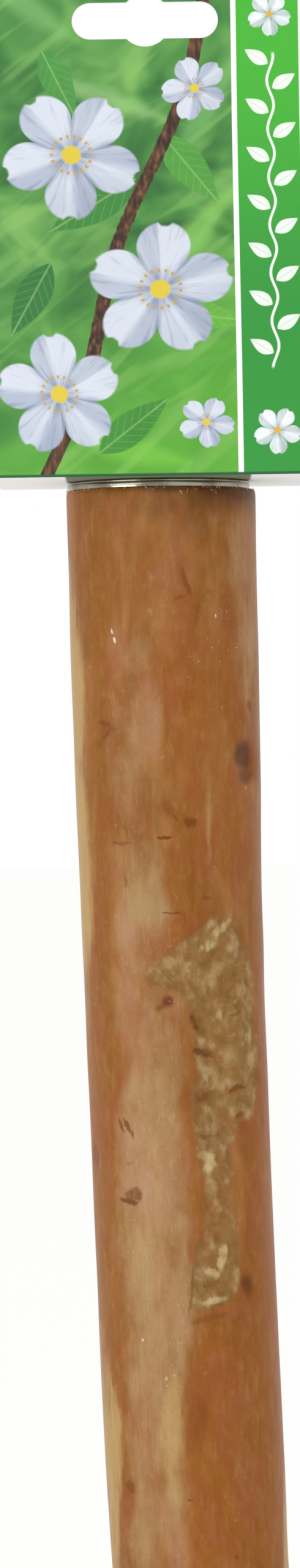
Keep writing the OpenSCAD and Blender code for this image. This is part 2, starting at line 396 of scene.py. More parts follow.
def soft_noise(points, size, seed=0.0, octaves=3):
    """Smooth noise from 0 to 1 with a grain in metres, or one grain for each axis."""
    total, weight = np.zeros(points.shape[:-1]), 0.0
    for octave in range(octaves):
        place = points / np.asarray(size, float) * 2 ** octave + seed + OCTAVE_SHIFT * octave
        cell = np.floor(place).astype(int)
        part = place - cell
        part = part * part * (3 - 2 * part)
        value = 0
        for corner in np.ndindex(2, 2, 2):
            x, y, z = ((cell[..., axis] + corner[axis]) % LATTICE_SIZE for axis in range(3))
            share = 1
            for axis in range(3):
                share = share * (part[..., axis] if corner[axis] else 1 - part[..., axis])
            value = value + share * LATTICE[x, y, z]
        total += value * 0.5 ** octave
        weight += 0.5 ** octave
    return total / weight


PX, PY = picture_place(base_points)
print("the branch spans pixels x", PX.min().round(), "to", PX.max().round(), "y", PY.min().round(), "to",
      PY.max().round())

# %% [markdown]
# Smooth noise will bend the outlines, because no scar on wood is an ellipse. Marks of
# the front fade out a little way round the sides, and those of the back start there.

# %% Sides and sway of the marks
# Both fades start at the sides, and end behind them at these cosines of the bearing
FRONT_FADE, BACK_FADE = 0.5, 0.15
towards = np.cos(np.radians(BEARING))
front_share = np.clip(1 + towards / FRONT_FADE, 0, 1)
front_share = front_share * front_share * (3 - 2 * front_share)
back_share = np.clip(-towards / BACK_FADE, 0, 1)
# Outlines wander by some pixels across and down, finely and slowly
FINE_SWAY, SLOW_SWAY = (10, 14), (26, 40)
STRIPE_FINE_SWAY, STRIPE_SLOW_SWAY = 7, (16, 26)
# Smaller marks sway less. These half sizes, in pixels, are the smallest that sway fully
FULL_SWAY, FULL_SLOW = 12, (40, 60)
wander_x = soft_noise(base_points, 4 * MM, 3.1) - 0.5
wander_y = soft_noise(base_points, 5 * MM, 9.7) - 0.5
slow_x = soft_noise(base_points, 14 * MM, 5.2) - 0.5
slow_y = soft_noise(base_points, 22 * MM, 7.9) - 0.5
print("share of the wood where front marks show:", round(float((front_share > 0.5).mean()), 2))

# %% [markdown]
# A mark is an ellipse with a soft edge, or a stripe between a left and a right line.
# Marks of a kind are laid together, and the strongest counts.

# %% Marks and stripes


def blot(x, y, wide, tall, turn, soft):
    """A mark centred on a pixel, 1 inside and 0 outside, with half sizes in pixels and a turn in degrees."""
    sway = min(1.0, min(wide, tall) / FULL_SWAY)
    right = PX + sway * (FINE_SWAY[0] * wander_x + SLOW_SWAY[0] * slow_x * min(1, wide / FULL_SLOW[0])) - x
    down = PY + sway * (FINE_SWAY[1] * wander_y + SLOW_SWAY[1] * slow_y * min(1, tall / FULL_SLOW[1])) - y
    cosine, sine = math.cos(math.radians(turn)), math.sin(math.radians(turn))
    across = (right * cosine + down * sine) / wide
    along = (-right * sine + down * cosine) / tall
    far = np.sqrt(across * across + along * along)
    inside = np.clip((1 + soft - far) / (2 * soft), 0, 1)
    return inside * inside * (3 - 2 * inside)


def band(stations, soft, sway):
    """A stripe down the front from (y, left, right, strength) stations in pixels, with soft edges."""
    y, left, right, strength = (np.array(column, float) for column in zip(*stations))
    py = PY + sway * STRIPE_SLOW_SWAY[1] * slow_y
    px = PX + sway * (STRIPE_FINE_SWAY * wander_x + STRIPE_SLOW_SWAY[0] * slow_x)
    inside = np.minimum(px - np.interp(py, y, left), np.interp(py, y, right) - px)
    ends = np.minimum(py - y[0], y[-1] - py)
    level = np.clip(inside / (2 * soft) + 0.5, 0, 1) * np.clip(ends / (4 * soft) + 0.5, 0, 1)
    level = level * level * (3 - 2 * level)
    return level * np.interp(py, y, strength) * front_share


def paint(marks, stripes=(), behind=()):
    """The strongest mark or stripe at each point of the grid. A mark ends with its strength."""
    total = np.zeros_like(BEARING)
    for side, group in ((front_share, marks), (back_share, behind)):
        for *shape, strength in group:
            total = np.maximum(total, blot(*shape) * side * strength)
    for stripe in stripes:
        total = np.maximum(total, band(*stripe))
    return total


TRIAL_MARK = (260, 1600, 60, 90, 0, 0.5)
print("points in a trial mark:", int((blot(*TRIAL_MARK) > 0.5).sum()))

# %% [markdown]
# ## The branch: its marks
# The marks are grouped by what they are, because each group has its own colour and
# its own relief. Sapwood comes first. It is pale, and shows where the knife went deep.

# %% Sapwood
# A mark is x, y, half width, half height, turn, softness and strength, and a stripe is its
# stations, softness and sway
SAPWOOD_MARKS = [
    (341, 1350, 5, 60, 0, 0.8, 0.5), (240, 2060, 24, 95, 0, 1.0, 0.3), (262, 1900, 18, 100, 3, 1.0, 0.22),
    (414, 2300, 8, 110, -3, 1.0, 0.15), (404, 1080, 8, 120, -1, 1.0, 0.25)]
SAPWOOD_STRIPES = [
    ([(900, 106, 114, 0.3), (960, 108, 121, 0.6), (1030, 110, 128, 0.75), (1075, 112, 134, 0.85),
      (1120, 114, 138, 0.95), (1200, 116, 138, 0.9), (1250, 118, 135, 0.8), (1290, 120, 140, 0.85),
      (1330, 122, 145, 0.9), (1450, 126, 150, 0.95), (1520, 129, 153, 0.9), (1560, 132, 149, 0.75),
      (1600, 134, 143, 0.5), (1750, 140, 146, 0.3)], 8.0, 0.4),
    ([(2150, 158, 168, 0.3), (2225, 162, 177, 0.45), (2280, 165, 190, 0.62), (2330, 168, 200, 0.85),
      (2390, 172, 201, 0.85), (2430, 175, 197, 0.8), (2570, 183, 194, 0.75)], 5.0, 0.5),
    ([(2225, 282, 292, 0.3), (2280, 272, 299, 0.5), (2326, 258, 302, 0.66), (2360, 259, 300, 0.66),
      (2390, 264, 297, 0.58), (2440, 274, 295, 0.55), (2500, 280, 292, 0.3)], 11.0, 0.5),
    ([(2400, 464, 480, 0.6), (2480, 464, 484, 0.9), (2570, 464, 488, 0.9)], 3.0, 0.2)]
SAPWOOD_BEHIND = [
    (300, 1200, 16, 300, 2, 0.6, 0.7), (380, 1900, 12, 240, 2, 0.7, 0.6),
    (200, 2200, 10, 200, -2, 0.8, 0.5)]
sapwood = paint(SAPWOOD_MARKS, SAPWOOD_STRIPES, SAPWOOD_BEHIND)
print("share of the wood: sapwood", round(float((sapwood > 0.5).mean()), 3))

# %% [markdown]
# Worn skin is scraped and pinkish. Most of it is one long zone down the middle, where
# the peeled stem was rubbed. That zone is also painted paler as a sheen, so its colour
# is partly real wear and partly a painted highlight.

# %% Worn skin and painted sheen
WORN_MARKS = [
    (205, 1420, 30, 60, 0, 0.7, 0.35), (258, 1640, 40, 44, 20, 0.6, 0.45), (390, 900, 26, 66, 0, 1.0, 0.62),
    (300, 880, 70, 70, 0, 1.0, 0.16), (404, 1060, 13, 110, 0, 0.7, 0.45), (365, 845, 36, 16, 0, 0.8, 0.3),
    (190, 1060, 20, 60, 0, 0.8, 0.2)]
# The long zone down the middle: rubbed wood with a painted sheen over it
WORN_AND_SHEEN_STRIPES = [
    ([(1010, 200, 240, 0.1), (1100, 182, 258, 0.3), (1200, 174, 268, 0.36), (1300, 180, 262, 0.26),
      (1380, 203, 268, 0.34), (1440, 203, 268, 0.62), (1500, 192, 284, 0.66), (1560, 182, 262, 0.42),
      (1620, 180, 286, 0.34), (1660, 192, 298, 0.38), (1700, 203, 294, 0.5), (1760, 201, 298, 0.62),
      (1800, 192, 290, 0.7), (1900, 187, 302, 0.7), (2000, 193, 312, 0.7), (2100, 202, 318, 0.66),
      (2160, 206, 320, 0.64), (2250, 206, 300, 0.62), (2350, 210, 298, 0.56), (2450, 213, 300, 0.52),
      (2580, 216, 306, 0.5)], 17.0, 1.0)]
WORN_BEHIND = [(220, 1500, 60, 160, 0, 1.0, 0.7), (300, 2100, 50, 200, 0, 1.0, 0.7)]
worn = paint(WORN_MARKS, WORN_AND_SHEEN_STRIPES, WORN_BEHIND)
print("share of the wood: worn", round(float((worn > 0.5).mean()), 3))

# %% [markdown]
# Where a strip of bark was ripped off, the wood tore and then weathered to a grey
# olive. Some of its fibres stayed cream.

# %% Torn wood
TORN_STRIPES = [
    ([(1496, 346, 386, 1.0), (1512, 334, 390, 1.0), (1533, 308, 394, 1.0), (1554, 282, 402, 1.0),
      (1575, 256, 409, 1.0), (1598, 238, 411, 0.9), (1610, 252, 412, 0.9), (1618, 292, 412, 1.0),
      (1632, 303, 411, 1.0), (1664, 313, 413, 1.0), (1706, 320, 418, 1.0), (1759, 320, 420, 1.0),
      (1801, 313, 417, 1.0), (1829, 315, 411, 1.0), (1842, 317, 384, 1.0), (1880, 321, 379, 0.95),
      (1910, 326, 380, 0.8), (1940, 331, 380, 0.68), (1975, 334, 383, 0.66), (2010, 334, 388, 0.72),
      (2030, 336, 390, 0.7)], 8.0, 0.45),
    ([(1990, 348, 386, 0.8), (2033, 326, 391, 1.0), (2060, 320, 393, 1.0), (2085, 313, 392, 1.0),
      (2110, 307, 390, 1.0), (2128, 307, 372, 1.0), (2146, 318, 345, 0.8)], 6.5, 0.3)]
TORN_BEHIND = [(330, 1600, 34, 90, 0, 0.4, 0.9), (180, 2120, 26, 60, 0, 0.4, 0.8)]
torn = paint([], TORN_STRIPES, TORN_BEHIND)
CREAM_MARKS = [
    (343, 1544, 15, 10, -12, 0.6, 0.9), (360, 1517, 20, 8, -38, 0.6, 0.85), (359, 1658, 6, 11, 0, 0.5, 0.7),
    (378, 1690, 10, 4, -20, 0.6, 0.5), (342, 1896, 12, 18, 0, 0.6, 0.9), (365, 2055, 8, 24, 14, 0.5, 0.95),
    (350, 2082, 14, 12, 0, 0.6, 0.8), (352, 2124, 26, 7, -14, 0.6, 0.85), (386, 1640, 5, 12, 0, 0.6, 0.45),
    (402, 1700, 5, 14, 0, 0.6, 0.35), (338, 1815, 9, 12, 0, 0.6, 0.5)]
CREAM_BEHIND = [(332, 1560, 12, 30, 0, 0.6, 0.8)]
cream = paint(CREAM_MARKS, behind=CREAM_BEHIND)
print("share of the wood: torn", round(float((torn > 0.5).mean()), 3))

# %% [markdown]
# Knots, buds and bruises are dark: a twig left the stem there, or the sap dried brown.
# They are small and many, so each is one ellipse.

# %% Knots and buds
DARK_MARKS = [
    (399, 1236, 18, 30, 0, 0.6, 0.92), (403, 1266, 15, 19, 0, 0.6, 0.8),
    (272, 1637, 14, 11, -24, 0.6, 0.85), (261, 1645, 9, 6, -30, 0.6, 0.75),
    (338, 1720, 18, 11, 20, 0.7, 0.6), (317, 1669, 8, 15, -14, 0.7, 0.5), (386, 1777, 16, 8, -20, 0.7, 0.5),
    (326, 1790, 10, 16, 30, 0.7, 0.45), (356, 1598, 12, 14, 30, 0.8, 0.35),
    (330, 1640, 12, 9, 0, 0.8, 0.35), (216, 1953, 14, 12, -20, 0.6, 0.72), (158, 1890, 5, 22, 0, 0.6, 0.55),
    (213, 2428, 9, 13, 20, 0.7, 0.5), (281, 940, 6, 40, -8, 0.8, 0.3), (299, 940, 8, 30, -8, 0.8, 0.5),
    (176, 1192, 13, 20, 20, 0.8, 0.5), (274, 1324, 8, 17, -20, 0.8, 0.6), (325, 2320, 18, 60, 0, 1.0, 0.62),
    (406, 2098, 12, 26, -6, 0.8, 0.86), (378, 1012, 13, 32, 0, 0.9, 0.42), (394, 1010, 8, 26, 0, 0.9, 0.3),
    (355, 2020, 9, 13, 20, 0.8, 0.45), (300, 880, 100, 24, 2, 1.0, 0.16), (160, 1240, 10, 24, 0, 0.9, 0.25),
    (322, 1342, 9, 8, 0, 0.7, 0.4)]
DARK_BEHIND = [
    (280, 1160, 11, 22, 0, 0.5, 1.0), (160, 1720, 13, 26, 0, 0.5, 1.0), (360, 2200, 8, 18, 0, 0.6, 0.8),
    (230, 1400, 14, 4, -6, 0.5, 0.7), (240, 1900, 4, 14, 10, 0.5, 0.7)]
dark = paint(DARK_MARKS, behind=DARK_BEHIND)
print("share of the wood: dark", round(float((dark > 0.5).mean()), 3))

# %% [markdown]
# Stains are zones that kept their orange or red inner bark. The largest follow the
# stem, so they are stripes.

# %% Stained zones
STAIN_MARKS = [
    (290, 900, 60, 60, 0, 0.8, 0.35), (300, 955, 24, 60, -8, 0.8, 0.5), (290, 1410, 40, 60, 0, 0.8, 0.4),
    (300, 1500, 40, 30, -30, 0.8, 0.45), (356, 2144, 46, 14, -8, 0.5, 0.9),
    (404, 2108, 15, 38, 0, 0.7, 0.95), (317, 2075, 8, 62, -14, 0.7, 0.65),
    (302, 1700, 18, 46, 0, 0.8, 0.55), (274, 1660, 26, 26, 0, 0.7, 0.45), (306, 1820, 12, 60, 0, 0.8, 0.5)]
STAIN_STRIPES = [
    ([(860, 158, 186, 0.3), (960, 150, 192, 0.65), (1030, 144, 186, 0.55), (1100, 146, 172, 0.5),
      (1200, 146, 166, 0.55), (1300, 142, 172, 0.55), (1400, 152, 200, 0.45), (1470, 158, 190, 0.4),
      (1560, 140, 178, 0.7), (1650, 138, 186, 0.9), (1750, 140, 188, 0.9), (1850, 144, 178, 0.95),
      (1950, 148, 178, 0.95), (2050, 152, 186, 0.95), (2150, 158, 194, 0.9), (2250, 172, 204, 0.7),
      (2350, 199, 210, 0.5), (2450, 192, 212, 0.5), (2580, 192, 214, 0.5)], 8.0, 1.0),
    ([(1020, 262, 372, 0.3), (1100, 264, 380, 0.8), (1180, 276, 404, 0.7), (1250, 286, 376, 0.7),
      (1330, 302, 428, 0.65), (1400, 332, 430, 0.8), (1480, 396, 430, 0.7), (1600, 415, 434, 0.65),
      (1760, 423, 440, 0.7), (1850, 402, 442, 0.8), (1950, 394, 446, 0.85), (2050, 402, 452, 0.9),
      (2150, 402, 456, 0.9), (2180, 334, 458, 0.85), (2250, 310, 462, 0.95), (2400, 305, 474, 0.95),
      (2580, 309, 490, 0.9)], 10.0, 1.0)]
STAIN_BEHIND = [(250, 1300, 100, 200, 0, 1.0, 0.5), (330, 2000, 80, 220, 0, 1.0, 0.5)]
stain = paint(STAIN_MARKS, STAIN_STRIPES, STAIN_BEHIND)
print("share of the wood: stained", round(float((stain > 0.5).mean()), 3))

# %% [markdown]
# The knife left a few pale scratches, and patches of specks that the material
# scatters. Right under the large washer and the card's base the wood is painted dark,
# most at the right: a painted shadow.

# %% Scratches and painted shadow
FLECK_MARKS = [
    (183, 1031, 2.4, 10, -8, 0.6, 0.85), (187, 1045, 3, 8, -8, 0.5, 0.95), (270, 2252, 2.4, 9, 0, 0.6, 0.8),
    (233, 2189, 2.5, 4, 0, 0.6, 1.0), (353, 1006, 2.5, 4, 0, 0.6, 0.9), (299, 1030, 2, 9, 0, 0.6, 0.6),
    (402, 1286, 4, 8, 0, 0.7, 0.7), (355, 1040, 50, 60, 0, 0.5, 0.5), (310, 1075, 40, 50, 0, 0.5, 0.45),
    (290, 1590, 110, 60, 0, 0.6, 0.4), (262, 2240, 30, 70, 0, 0.6, 0.4), (240, 1900, 60, 200, 0, 0.8, 0.3)]
fleck = paint(FLECK_MARKS)
# A painted shadow: the wood is painted dark right under the large washer and the card's base, most at the
# right
PAINTED_SHADOW_MARKS = [
    (378, 800, 84, 25, 3, 0.6, 1.0), (300, 790, 110, 20, 3, 0.8, 0.9), (356, 812, 84, 30, 4, 0.9, 0.72),
    (290, 834, 70, 46, -20, 1.0, 0.45), (262, 826, 50, 36, 0, 0.9, 0.5), (190, 792, 110, 9, 0, 1.0, 0.45)]
painted_shadow = paint(PAINTED_SHADOW_MARKS)
print("share of the wood: iron stain", round(float((painted_shadow > 0.5).mean()), 3))

# %% [markdown]
# ## The branch: relief
# The torn places lie a little below the skin and are rough, because the fibres were
# ripped and not cut. Small dark marks are shallow pits where buds and twigs sat.
# They could be bumps in the material, but those don't change the outline, so these
# heights go into the mesh. What is finer than half a millimetre stays a bump.

# %% Branch relief
# The share of the length over which the relief rises from nothing at each saw cut
END_FADE = 0.006
swirl = np.stack([wander_x, np.zeros_like(wander_x), wander_y], -1) * 5 * MM
crumble = soft_noise(base_points + swirl, (2.3 * MM, 2.3 * MM, 2.9 * MM), 21.0, 3) - 0.5
shreds = soft_noise(base_points + swirl * 0.5, (1.5 * MM, 1.5 * MM, 1.7 * MM), 33.0, 3) - 0.5
crumb = np.clip(0.5 + 1.25 * crumble + 0.35 * shreds, 0, 1)
ripple = soft_noise(base_points, (7 * MM, 7 * MM, 26 * MM), 41.0, 2) - 0.5
# The edge of a torn place, where its mask is near 0.3
lip = np.exp(-((torn - 0.30) / 0.16) ** 2)
# Heights in millimetres above the skin
relief = MM * (
    0.34 * ripple
    + torn * (-0.38 + 1.35 * crumble + 0.30 * shreds)
    + cream * 0.22
    + lip * 0.03
    - 0.34 * dark
    + worn * 0.10 * shreds)
# The rims of the saw cuts stay true
relief *= np.clip(np.minimum(ALONG, 1 - ALONG) / END_FADE, 0, 1)
points = base_points + outward * relief[..., None]
print("relief mm: lowest", round(float(relief.min() / MM), 2),
      "highest", round(float(relief.max() / MM), 2))

# %% [markdown]
# The sides, the sawn top and the sawn foot become one closed mesh. Its ends are rings
# of points that shrink towards the axis, so that no long thin face spoils the saw cut.
# It could be a remeshed sculpture, but a grid keeps each row level and each place known.

# %% Branch mesh
CAP_RINGS, BRANCH_SHARP = 11, math.radians(50)
# Below 1, this power sets the rings closer together towards the rim
RING_CROWDING = 0.8
n_rows, n_cols = points.shape[:2]
side_count = n_rows * n_cols
axis_points = branch_axis(rows)
ring_shares = np.linspace(0, 1, CAP_RINGS + 1)[1:-1][::-1] ** RING_CROWDING
vertices = [points.reshape(-1, 3)]
faces = []
index = np.arange(side_count).reshape(n_rows, n_cols)
beside = np.roll(index, -1, 1)
quads = np.stack([index[:-1], index[1:], beside[1:], beside[:-1]], -1).reshape(-1, 4)
faces += quads.tolist()
side_faces = len(faces)
count = side_count
for row, foot in ((0, False), (n_rows - 1, True)):
    centre, previous = axis_points[row], index[row]
    for share in ring_shares:
        vertices.append(centre + (points[row] - centre) * share)
        current = np.arange(count, count + n_cols)
        count += n_cols
        ring = [previous, np.roll(previous, -1), np.roll(current, -1), current]
        faces += np.stack([ring[k] for k in ((0, 3, 2, 1) if foot else (0, 1, 2, 3))], -1).tolist()
        previous = current
    vertices.append(centre[None])
    fan = [previous, np.roll(previous, -1), np.full(n_cols, count)]
    faces += np.stack([fan[k] for k in ((1, 0, 2) if foot else (0, 1, 2))], -1).tolist()
    count += 1
all_points = np.concatenate(vertices)
branch = mesh_object("peeled_branch", all_points, faces)
branch_mesh = branch.data
branch_mesh.set_sharp_from_angle(angle=BRANCH_SHARP)
print("branch triangles:", sum(len(p.vertices) - 2 for p in branch_mesh.polygons))

# %% [markdown]
# Each mark group is stored on the points as an attribute, and so is the place that each
# point would have if the branch were straight. Grain that is drawn on that place
# follows the bend. The sides use the first material and the ends the second.

# %% Branch attributes


def store(mesh, name, values, kind="FLOAT", key="value"):
    """Stores one value or vector for each point of a mesh."""
    layer = mesh.attributes.new(name, kind, "POINT")
    flat = np.zeros((len(mesh.vertices),) + np.shape(values)[1:], np.float32)
    flat[:len(values)] = values
    layer.data.foreach_set(key, flat.ravel())


masks = {"sapwood": sapwood, "worn": worn, "torn": torn, "cream": cream, "dark": dark, "stain": stain,
         "fleck": fleck, "crumb": crumb, "painted_shadow": painted_shadow}
for name, mask in masks.items():
    store(branch_mesh, name, mask.reshape(-1))
straight = all_points.copy()
share_down = np.clip((SAW_Z - all_points[:, 2]) / BRANCH_LEN, 0, 1)
straight[:, :2] -= branch_axis(share_down)[:, :2]
store(branch_mesh, "straight", straight, "FLOAT_VECTOR", "vector")
slots = np.zeros(len(branch_mesh.polygons), np.int32)
slots[side_faces:] = 1
branch_mesh.polygons.foreach_set("material_index", slots)
print("attributes:", [*masks, "straight"])

# %% [markdown]
# ## The branch: small dark strokes
# Buds, cuts and drying cracks are finer than the mesh, so the material draws them. One
# node group draws any of them. It is a bent ellipse with its centre, half sizes, turn,
# bend and strength as inputs. It passes on the strongest stroke so far, so that a row
# of these groups adds up to all the strokes.

# %% Shapes as node groups


def shape_group(name, numbers, outputs):
    """A node group for a shape. Its inputs are a place, a centre, half sizes, a turn and named numbers.

    Returns the tree, its inputs, and the place along and across the shape, from -1 to 1 inside it."""
    tree = bpy.data.node_groups.new(name, "ShaderNodeTree")
    for label in ("Place", "Centre", "Size", "Turn"):
        tree.interface.new_socket(name=label, in_out="INPUT", socket_type="NodeSocketVector")
    for way, labels in (("INPUT", numbers), ("OUTPUT", outputs)):
        for label in labels:
            tree.interface.new_socket(name=label, in_out=way, socket_type="NodeSocketFloat")
    given = add(tree, "NodeGroupInput").outputs
    own = add(tree, "ShaderNodeMapping", {"Vector": given["Place"], "Location": given["Centre"],
                                          "Rotation": given["Turn"], "Scale": given["Size"]},
              vector_type="TEXTURE")
    # Dot products read one axis each. Separate XYZ would also hold on to Y, once for every shape
    along, across = (add(tree, "ShaderNodeVectorMath", own, axis, operation="DOT_PRODUCT")
                     for axis in ((1, 0, 0), (0, 0, 1)))
    return tree, given, along, across


def placed(tree, group, place, x, z, turn, half_length, half_width, **numbers):
    """One shape, with its centre and half sizes in mm and its turn in degrees."""
    return add(tree, "ShaderNodeGroup", {
        "Place": place, "Centre": (x * MM, 0, z * MM), "Size": (half_length * MM, 1, half_width * MM),
        "Turn": (0, math.radians(turn), 0),
        **{label.replace("_", " "): value for label, value in numbers.items()}}, node_tree=group)


stroke, given, along, across = shape_group("dark stroke in the skin", ("Bend", "Strength", "So Far"),
                                           ("Strongest",))
squared = add(stroke, "MULTIPLY", along, along)
bent = add(stroke, "MULTIPLY_ADD", squared, given["Bend"], across)
far = add(stroke, "MULTIPLY_ADD", bent, bent, squared)
eased = add(stroke, "ease", {"Value": far, "From Min": 1.5, "From Max": 0.4, "To Max": given["Strength"]})
add(stroke, "NodeGroupOutput", {"Strongest": add(stroke, "MAXIMUM", eased, given["So Far"])})
print("inputs of a stroke:", [socket.name for socket in given if socket.name])

# %% [markdown]
# Each stroke has its place in pixels too. It is carried to the nearest point of the
# grid and from there to the straightened branch, where the material draws.

# %% Places of the strokes
# x, y, half length and half width in pixels, turn in degrees, bend, strength
STROKES = [
    (172, 1181, 11, 5, 25, 0.0, 0.75), (175, 1198, 12, 4, -60, -0.3, 0.75),
    (187, 1190, 8, 3, 10, 0.0, 0.55), (274, 1319, 13, 8, 55, -0.3, 0.62),
    (285, 1333, 11, 3, 48, 0.0, 0.7), (312, 1343, 12, 8, -8, 0.0, 0.85),
    (269, 1368, 13, 2.6, -5, -0.4, 0.95), (198, 1377, 18, 2.2, 2, 0.0, 0.7),
    (205, 1357, 17, 2.0, 86, 0.0, 0.5), (282, 1491, 19, 2.4, 4, 0.0, 0.8),
    (337, 1466, 8, 4, 0, 0.0, 0.6), (206, 1441, 8, 2.4, 84, 0.0, 0.6),
    (198, 1838, 12, 2.8, 74, 0.0, 0.85), (208, 1839, 15, 3.2, 68, -0.5, 0.9),
    (214, 1848, 12, 3.6, 60, 0.4, 0.75), (213, 1899, 7, 2.4, -10, 0.0, 0.45),
    (216, 1946, 14, 6, -28, 0.4, 0.75), (211, 1962, 15, 5.5, 14, -0.5, 0.95),
    (228, 1951, 11, 4.5, 78, 0.4, 0.85), (316, 1668, 15, 5, 72, -0.4, 0.85),
    (331, 1718, 18, 7, 18, 0.4, 0.9), (386, 1777, 15, 4.5, -18, 0.4, 0.85),
    (331, 1793, 13, 5, -38, -0.4, 0.7), (334, 1856, 12, 3.4, 10, -0.6, 0.6),
    (390, 1821, 9, 4.5, -32, 0.0, 0.7), (402, 1604, 12, 2.8, 76, -0.6, 0.6),
    (384, 1655, 12, 2.8, -15, -0.4, 0.5), (314, 2106, 40, 2.8, 97, 0.6, 0.62),
    (342, 2152, 32, 6, -12, 0.4, 0.58), (157, 1886, 20, 5, 86, 0.0, 0.7),
    (213, 2428, 11, 7, 70, -0.3, 0.75), (311, 2449, 3.5, 3, 0, 0.0, 0.75),
    (386, 2541, 4.5, 4, 0, 0.0, 0.75), (302, 948, 28, 5, 74, -0.6, 0.76),
    (294, 976, 12, 3.5, -28, -0.4, 0.6), (408, 1154, 12, 4, 82, 0.0, 0.75)]
# Added to the distance of points on the back, so that none of them is ever the nearest
BEHIND = 1e9


def spot(x, y):
    """Millimetres along X and Z, on the straightened branch, of the front point that a pixel shows."""
    gap = (PX - x) ** 2 + (PY - y) ** 2 + np.where(towards > 0, 0, BEHIND)
    row, column = np.unravel_index(np.argmin(gap), gap.shape)
    axis = branch_axis(rows[row])
    return ((base_points[row, column, 0] - axis[0] + (x - PX[row, column]) / PIXELS_PER_M) / MM,
            (base_points[row, column, 2] - (y - PY[row, column]) / PIXELS_PER_M) / MM)


def strokes(tree, place):
    """The strongest stroke at each point of the front."""
    strongest = 0.0
    for x, y, half_length, half_width, turn, bend, strength in STROKES:
        strongest = placed(tree, stroke, place, *spot(x, y), turn, half_length / PIXELS_PER_MM,
                           half_width / PIXELS_PER_MM, Bend=bend, Strength=strength, So_Far=strongest)
    depth = add(tree, "ShaderNodeVectorMath", place, (0, 1, 0), operation="DOT_PRODUCT")
    return add(tree, "MULTIPLY", strongest, add(tree, "ease", depth, 2 * MM, -1 * MM))


print("strokes:", len(STROKES), "the first at mm:", [round(float(v), 1) for v in spot(*STROKES[0][:2])])

# %% [markdown]
# ## The branch: peeled wood
# The bark was drawn off and the wet skin under it dried in the air. That leaves a
# smooth satin surface, warm orange brown, with colour in soft clouds that run along
# the stem. Layers of noise draw it: clouds 8 mm wide, mottle 2 mm wide and fibres
# 0.3 mm wide, all longer than wide. An image could be wrapped round the stem, but it
# would show a seam. The patterns come first, because several layers of colour share
# them.

# %% Patterns of the wood
wood, tree, shader = material("peeled branch wood, air dried, satin")
place = add(tree, "ShaderNodeAttribute", attribute_name="straight").outputs["Vector"]
mark = {name: add(tree, "ShaderNodeAttribute", attribute_name=name).outputs["Fac"] for name in masks}
clouds = grain(tree, place, (8, 8, 30), distort=0.6)
zones = grain(tree, place, (6, 6, 10), detail=4, rough=0.52)
patches = grain(tree, place, (3, 3, 3.6), rough=0.55)
mottle = grain(tree, place, (2.2, 2.2, 4.2), detail=4, rough=0.6)
fibres = grain(tree, place, (0.32, 0.32, 6), detail=2)
grit = grain(tree, place, (0.5, 0.5, 0.8), rough=0.6)
breakup = grain(tree, place, (1.2, 1.2, 2), detail=4, rough=0.62)
wisps = grain(tree, place, (1.5, 1.5, 8), detail=4, rough=0.6)


def within(group, ragged, low, high, share):
    """Where a mark is: its attribute with a ragged edge, eased from low to high, up to a share."""
    return add(tree, "ease", add(tree, "ADD", mark[group], ragged), low, high, 0.0, share)


def centred(pattern, size):
    """A pattern moved to swing evenly round 0 by a size."""
    return add(tree, "MULTIPLY", add(tree, "SUBTRACT", pattern, 0.5), size)


ragged = add(tree, "ADD", centred(zones, 1.2), centred(wisps, 0.20))
# A slow wander of the place, 1.4 mm at most, keeps the strokes from looking stamped
WANDER_GRAIN, WANDER = 1 / 0.7, 1.4 * MM
drift = grain(tree, place, [WANDER_GRAIN] * 3, detail=2).outputs["Color"]
shift = add(tree, "ShaderNodeVectorMath", drift, (0.5, 0.5, 0.5), operation="SUBTRACT")
shift = add(tree, "ShaderNodeVectorMath", {0: shift, "Scale": WANDER}, operation="SCALE")
marks = strokes(tree, add(tree, "ShaderNodeVectorMath", place, shift, operation="ADD"))
print("mark attributes in the material:", list(mark))

# %% [markdown]
# The skin is painted from the bottom up, as its colours formed. Clouds of brown come
# first. Deep zones kept their orange inner bark, and the left side is browner. Hue
# changes slowly along the stem. Worn zones are scraped to paler wood, yellowish or
# pinkish, and the long one down the middle also carries a painted sheen. Mottle,
# wisps, fibres and pores lie over it all.

# %% Skin colours
base = add(tree, "ramp", clouds, stops=[(0.32, "#7E490C"), (0.50, "#8B5622"), (0.66, "#9A6836")])
deep = add(tree, "ramp", zones, stops=[(0.38, "#894E0C"), (0.60, "#8F5119")])
base = add(tree, "mix", within("stain", ragged, 0.0, 1.0, 0.85), base, deep)
sideways = add(tree, "ShaderNodeVectorMath", place, (1, 0, 0), operation="DOT_PRODUCT")
leftward = add(tree, "ADD", sideways, centred(clouds, 30 * MM))
base = tint(tree, base, "#80511A", leftward, -1 * MM, -18 * MM, 0.60)
hue = grain(tree, place, (7.5, 7.5, 13), detail=2, distort=0.8)
base = tint(tree, base, "#8F4C2A", hue, 0.47, 0.63, 0.46)
base = tint(tree, base, "#96602A", hue, 0.46, 0.28, 0.28)
# Worn wood and painted sheen: the long zone down the middle is paler partly because a sheen is painted there
rubbed_and_sheen = within("worn", ragged, 0.05, 0.95, 0.95)
scraped_and_sheen_tone = add(tree, "ramp", clouds, stops=[(0.36, "#A38459"), (0.50, "#A38159"), (0.66, "#A67E62")])
base = add(tree, "mix", rubbed_and_sheen, base, scraped_and_sheen_tone)
# Mottle and wisps are paler than the skin in some places and darker in others
base = tint(tree, base, "#AA7C48", mottle, 0.46, 0.74, 0.19)
base = tint(tree, base, "#7B430D", mottle, 0.52, 0.26, 0.21)
base = tint(tree, base, "#A77A49", wisps, 0.48, 0.74, 0.03)
base = tint(tree, base, "#7E4511", wisps, 0.50, 0.28, 0.04)
cut_edge = add(tree, "ADD", centred(wisps, 1.1), centred(breakup, 0.5))
base = add(tree, "mix", within("sapwood", cut_edge, 0.0, 1.0, 0.85), base, "#AE9058")
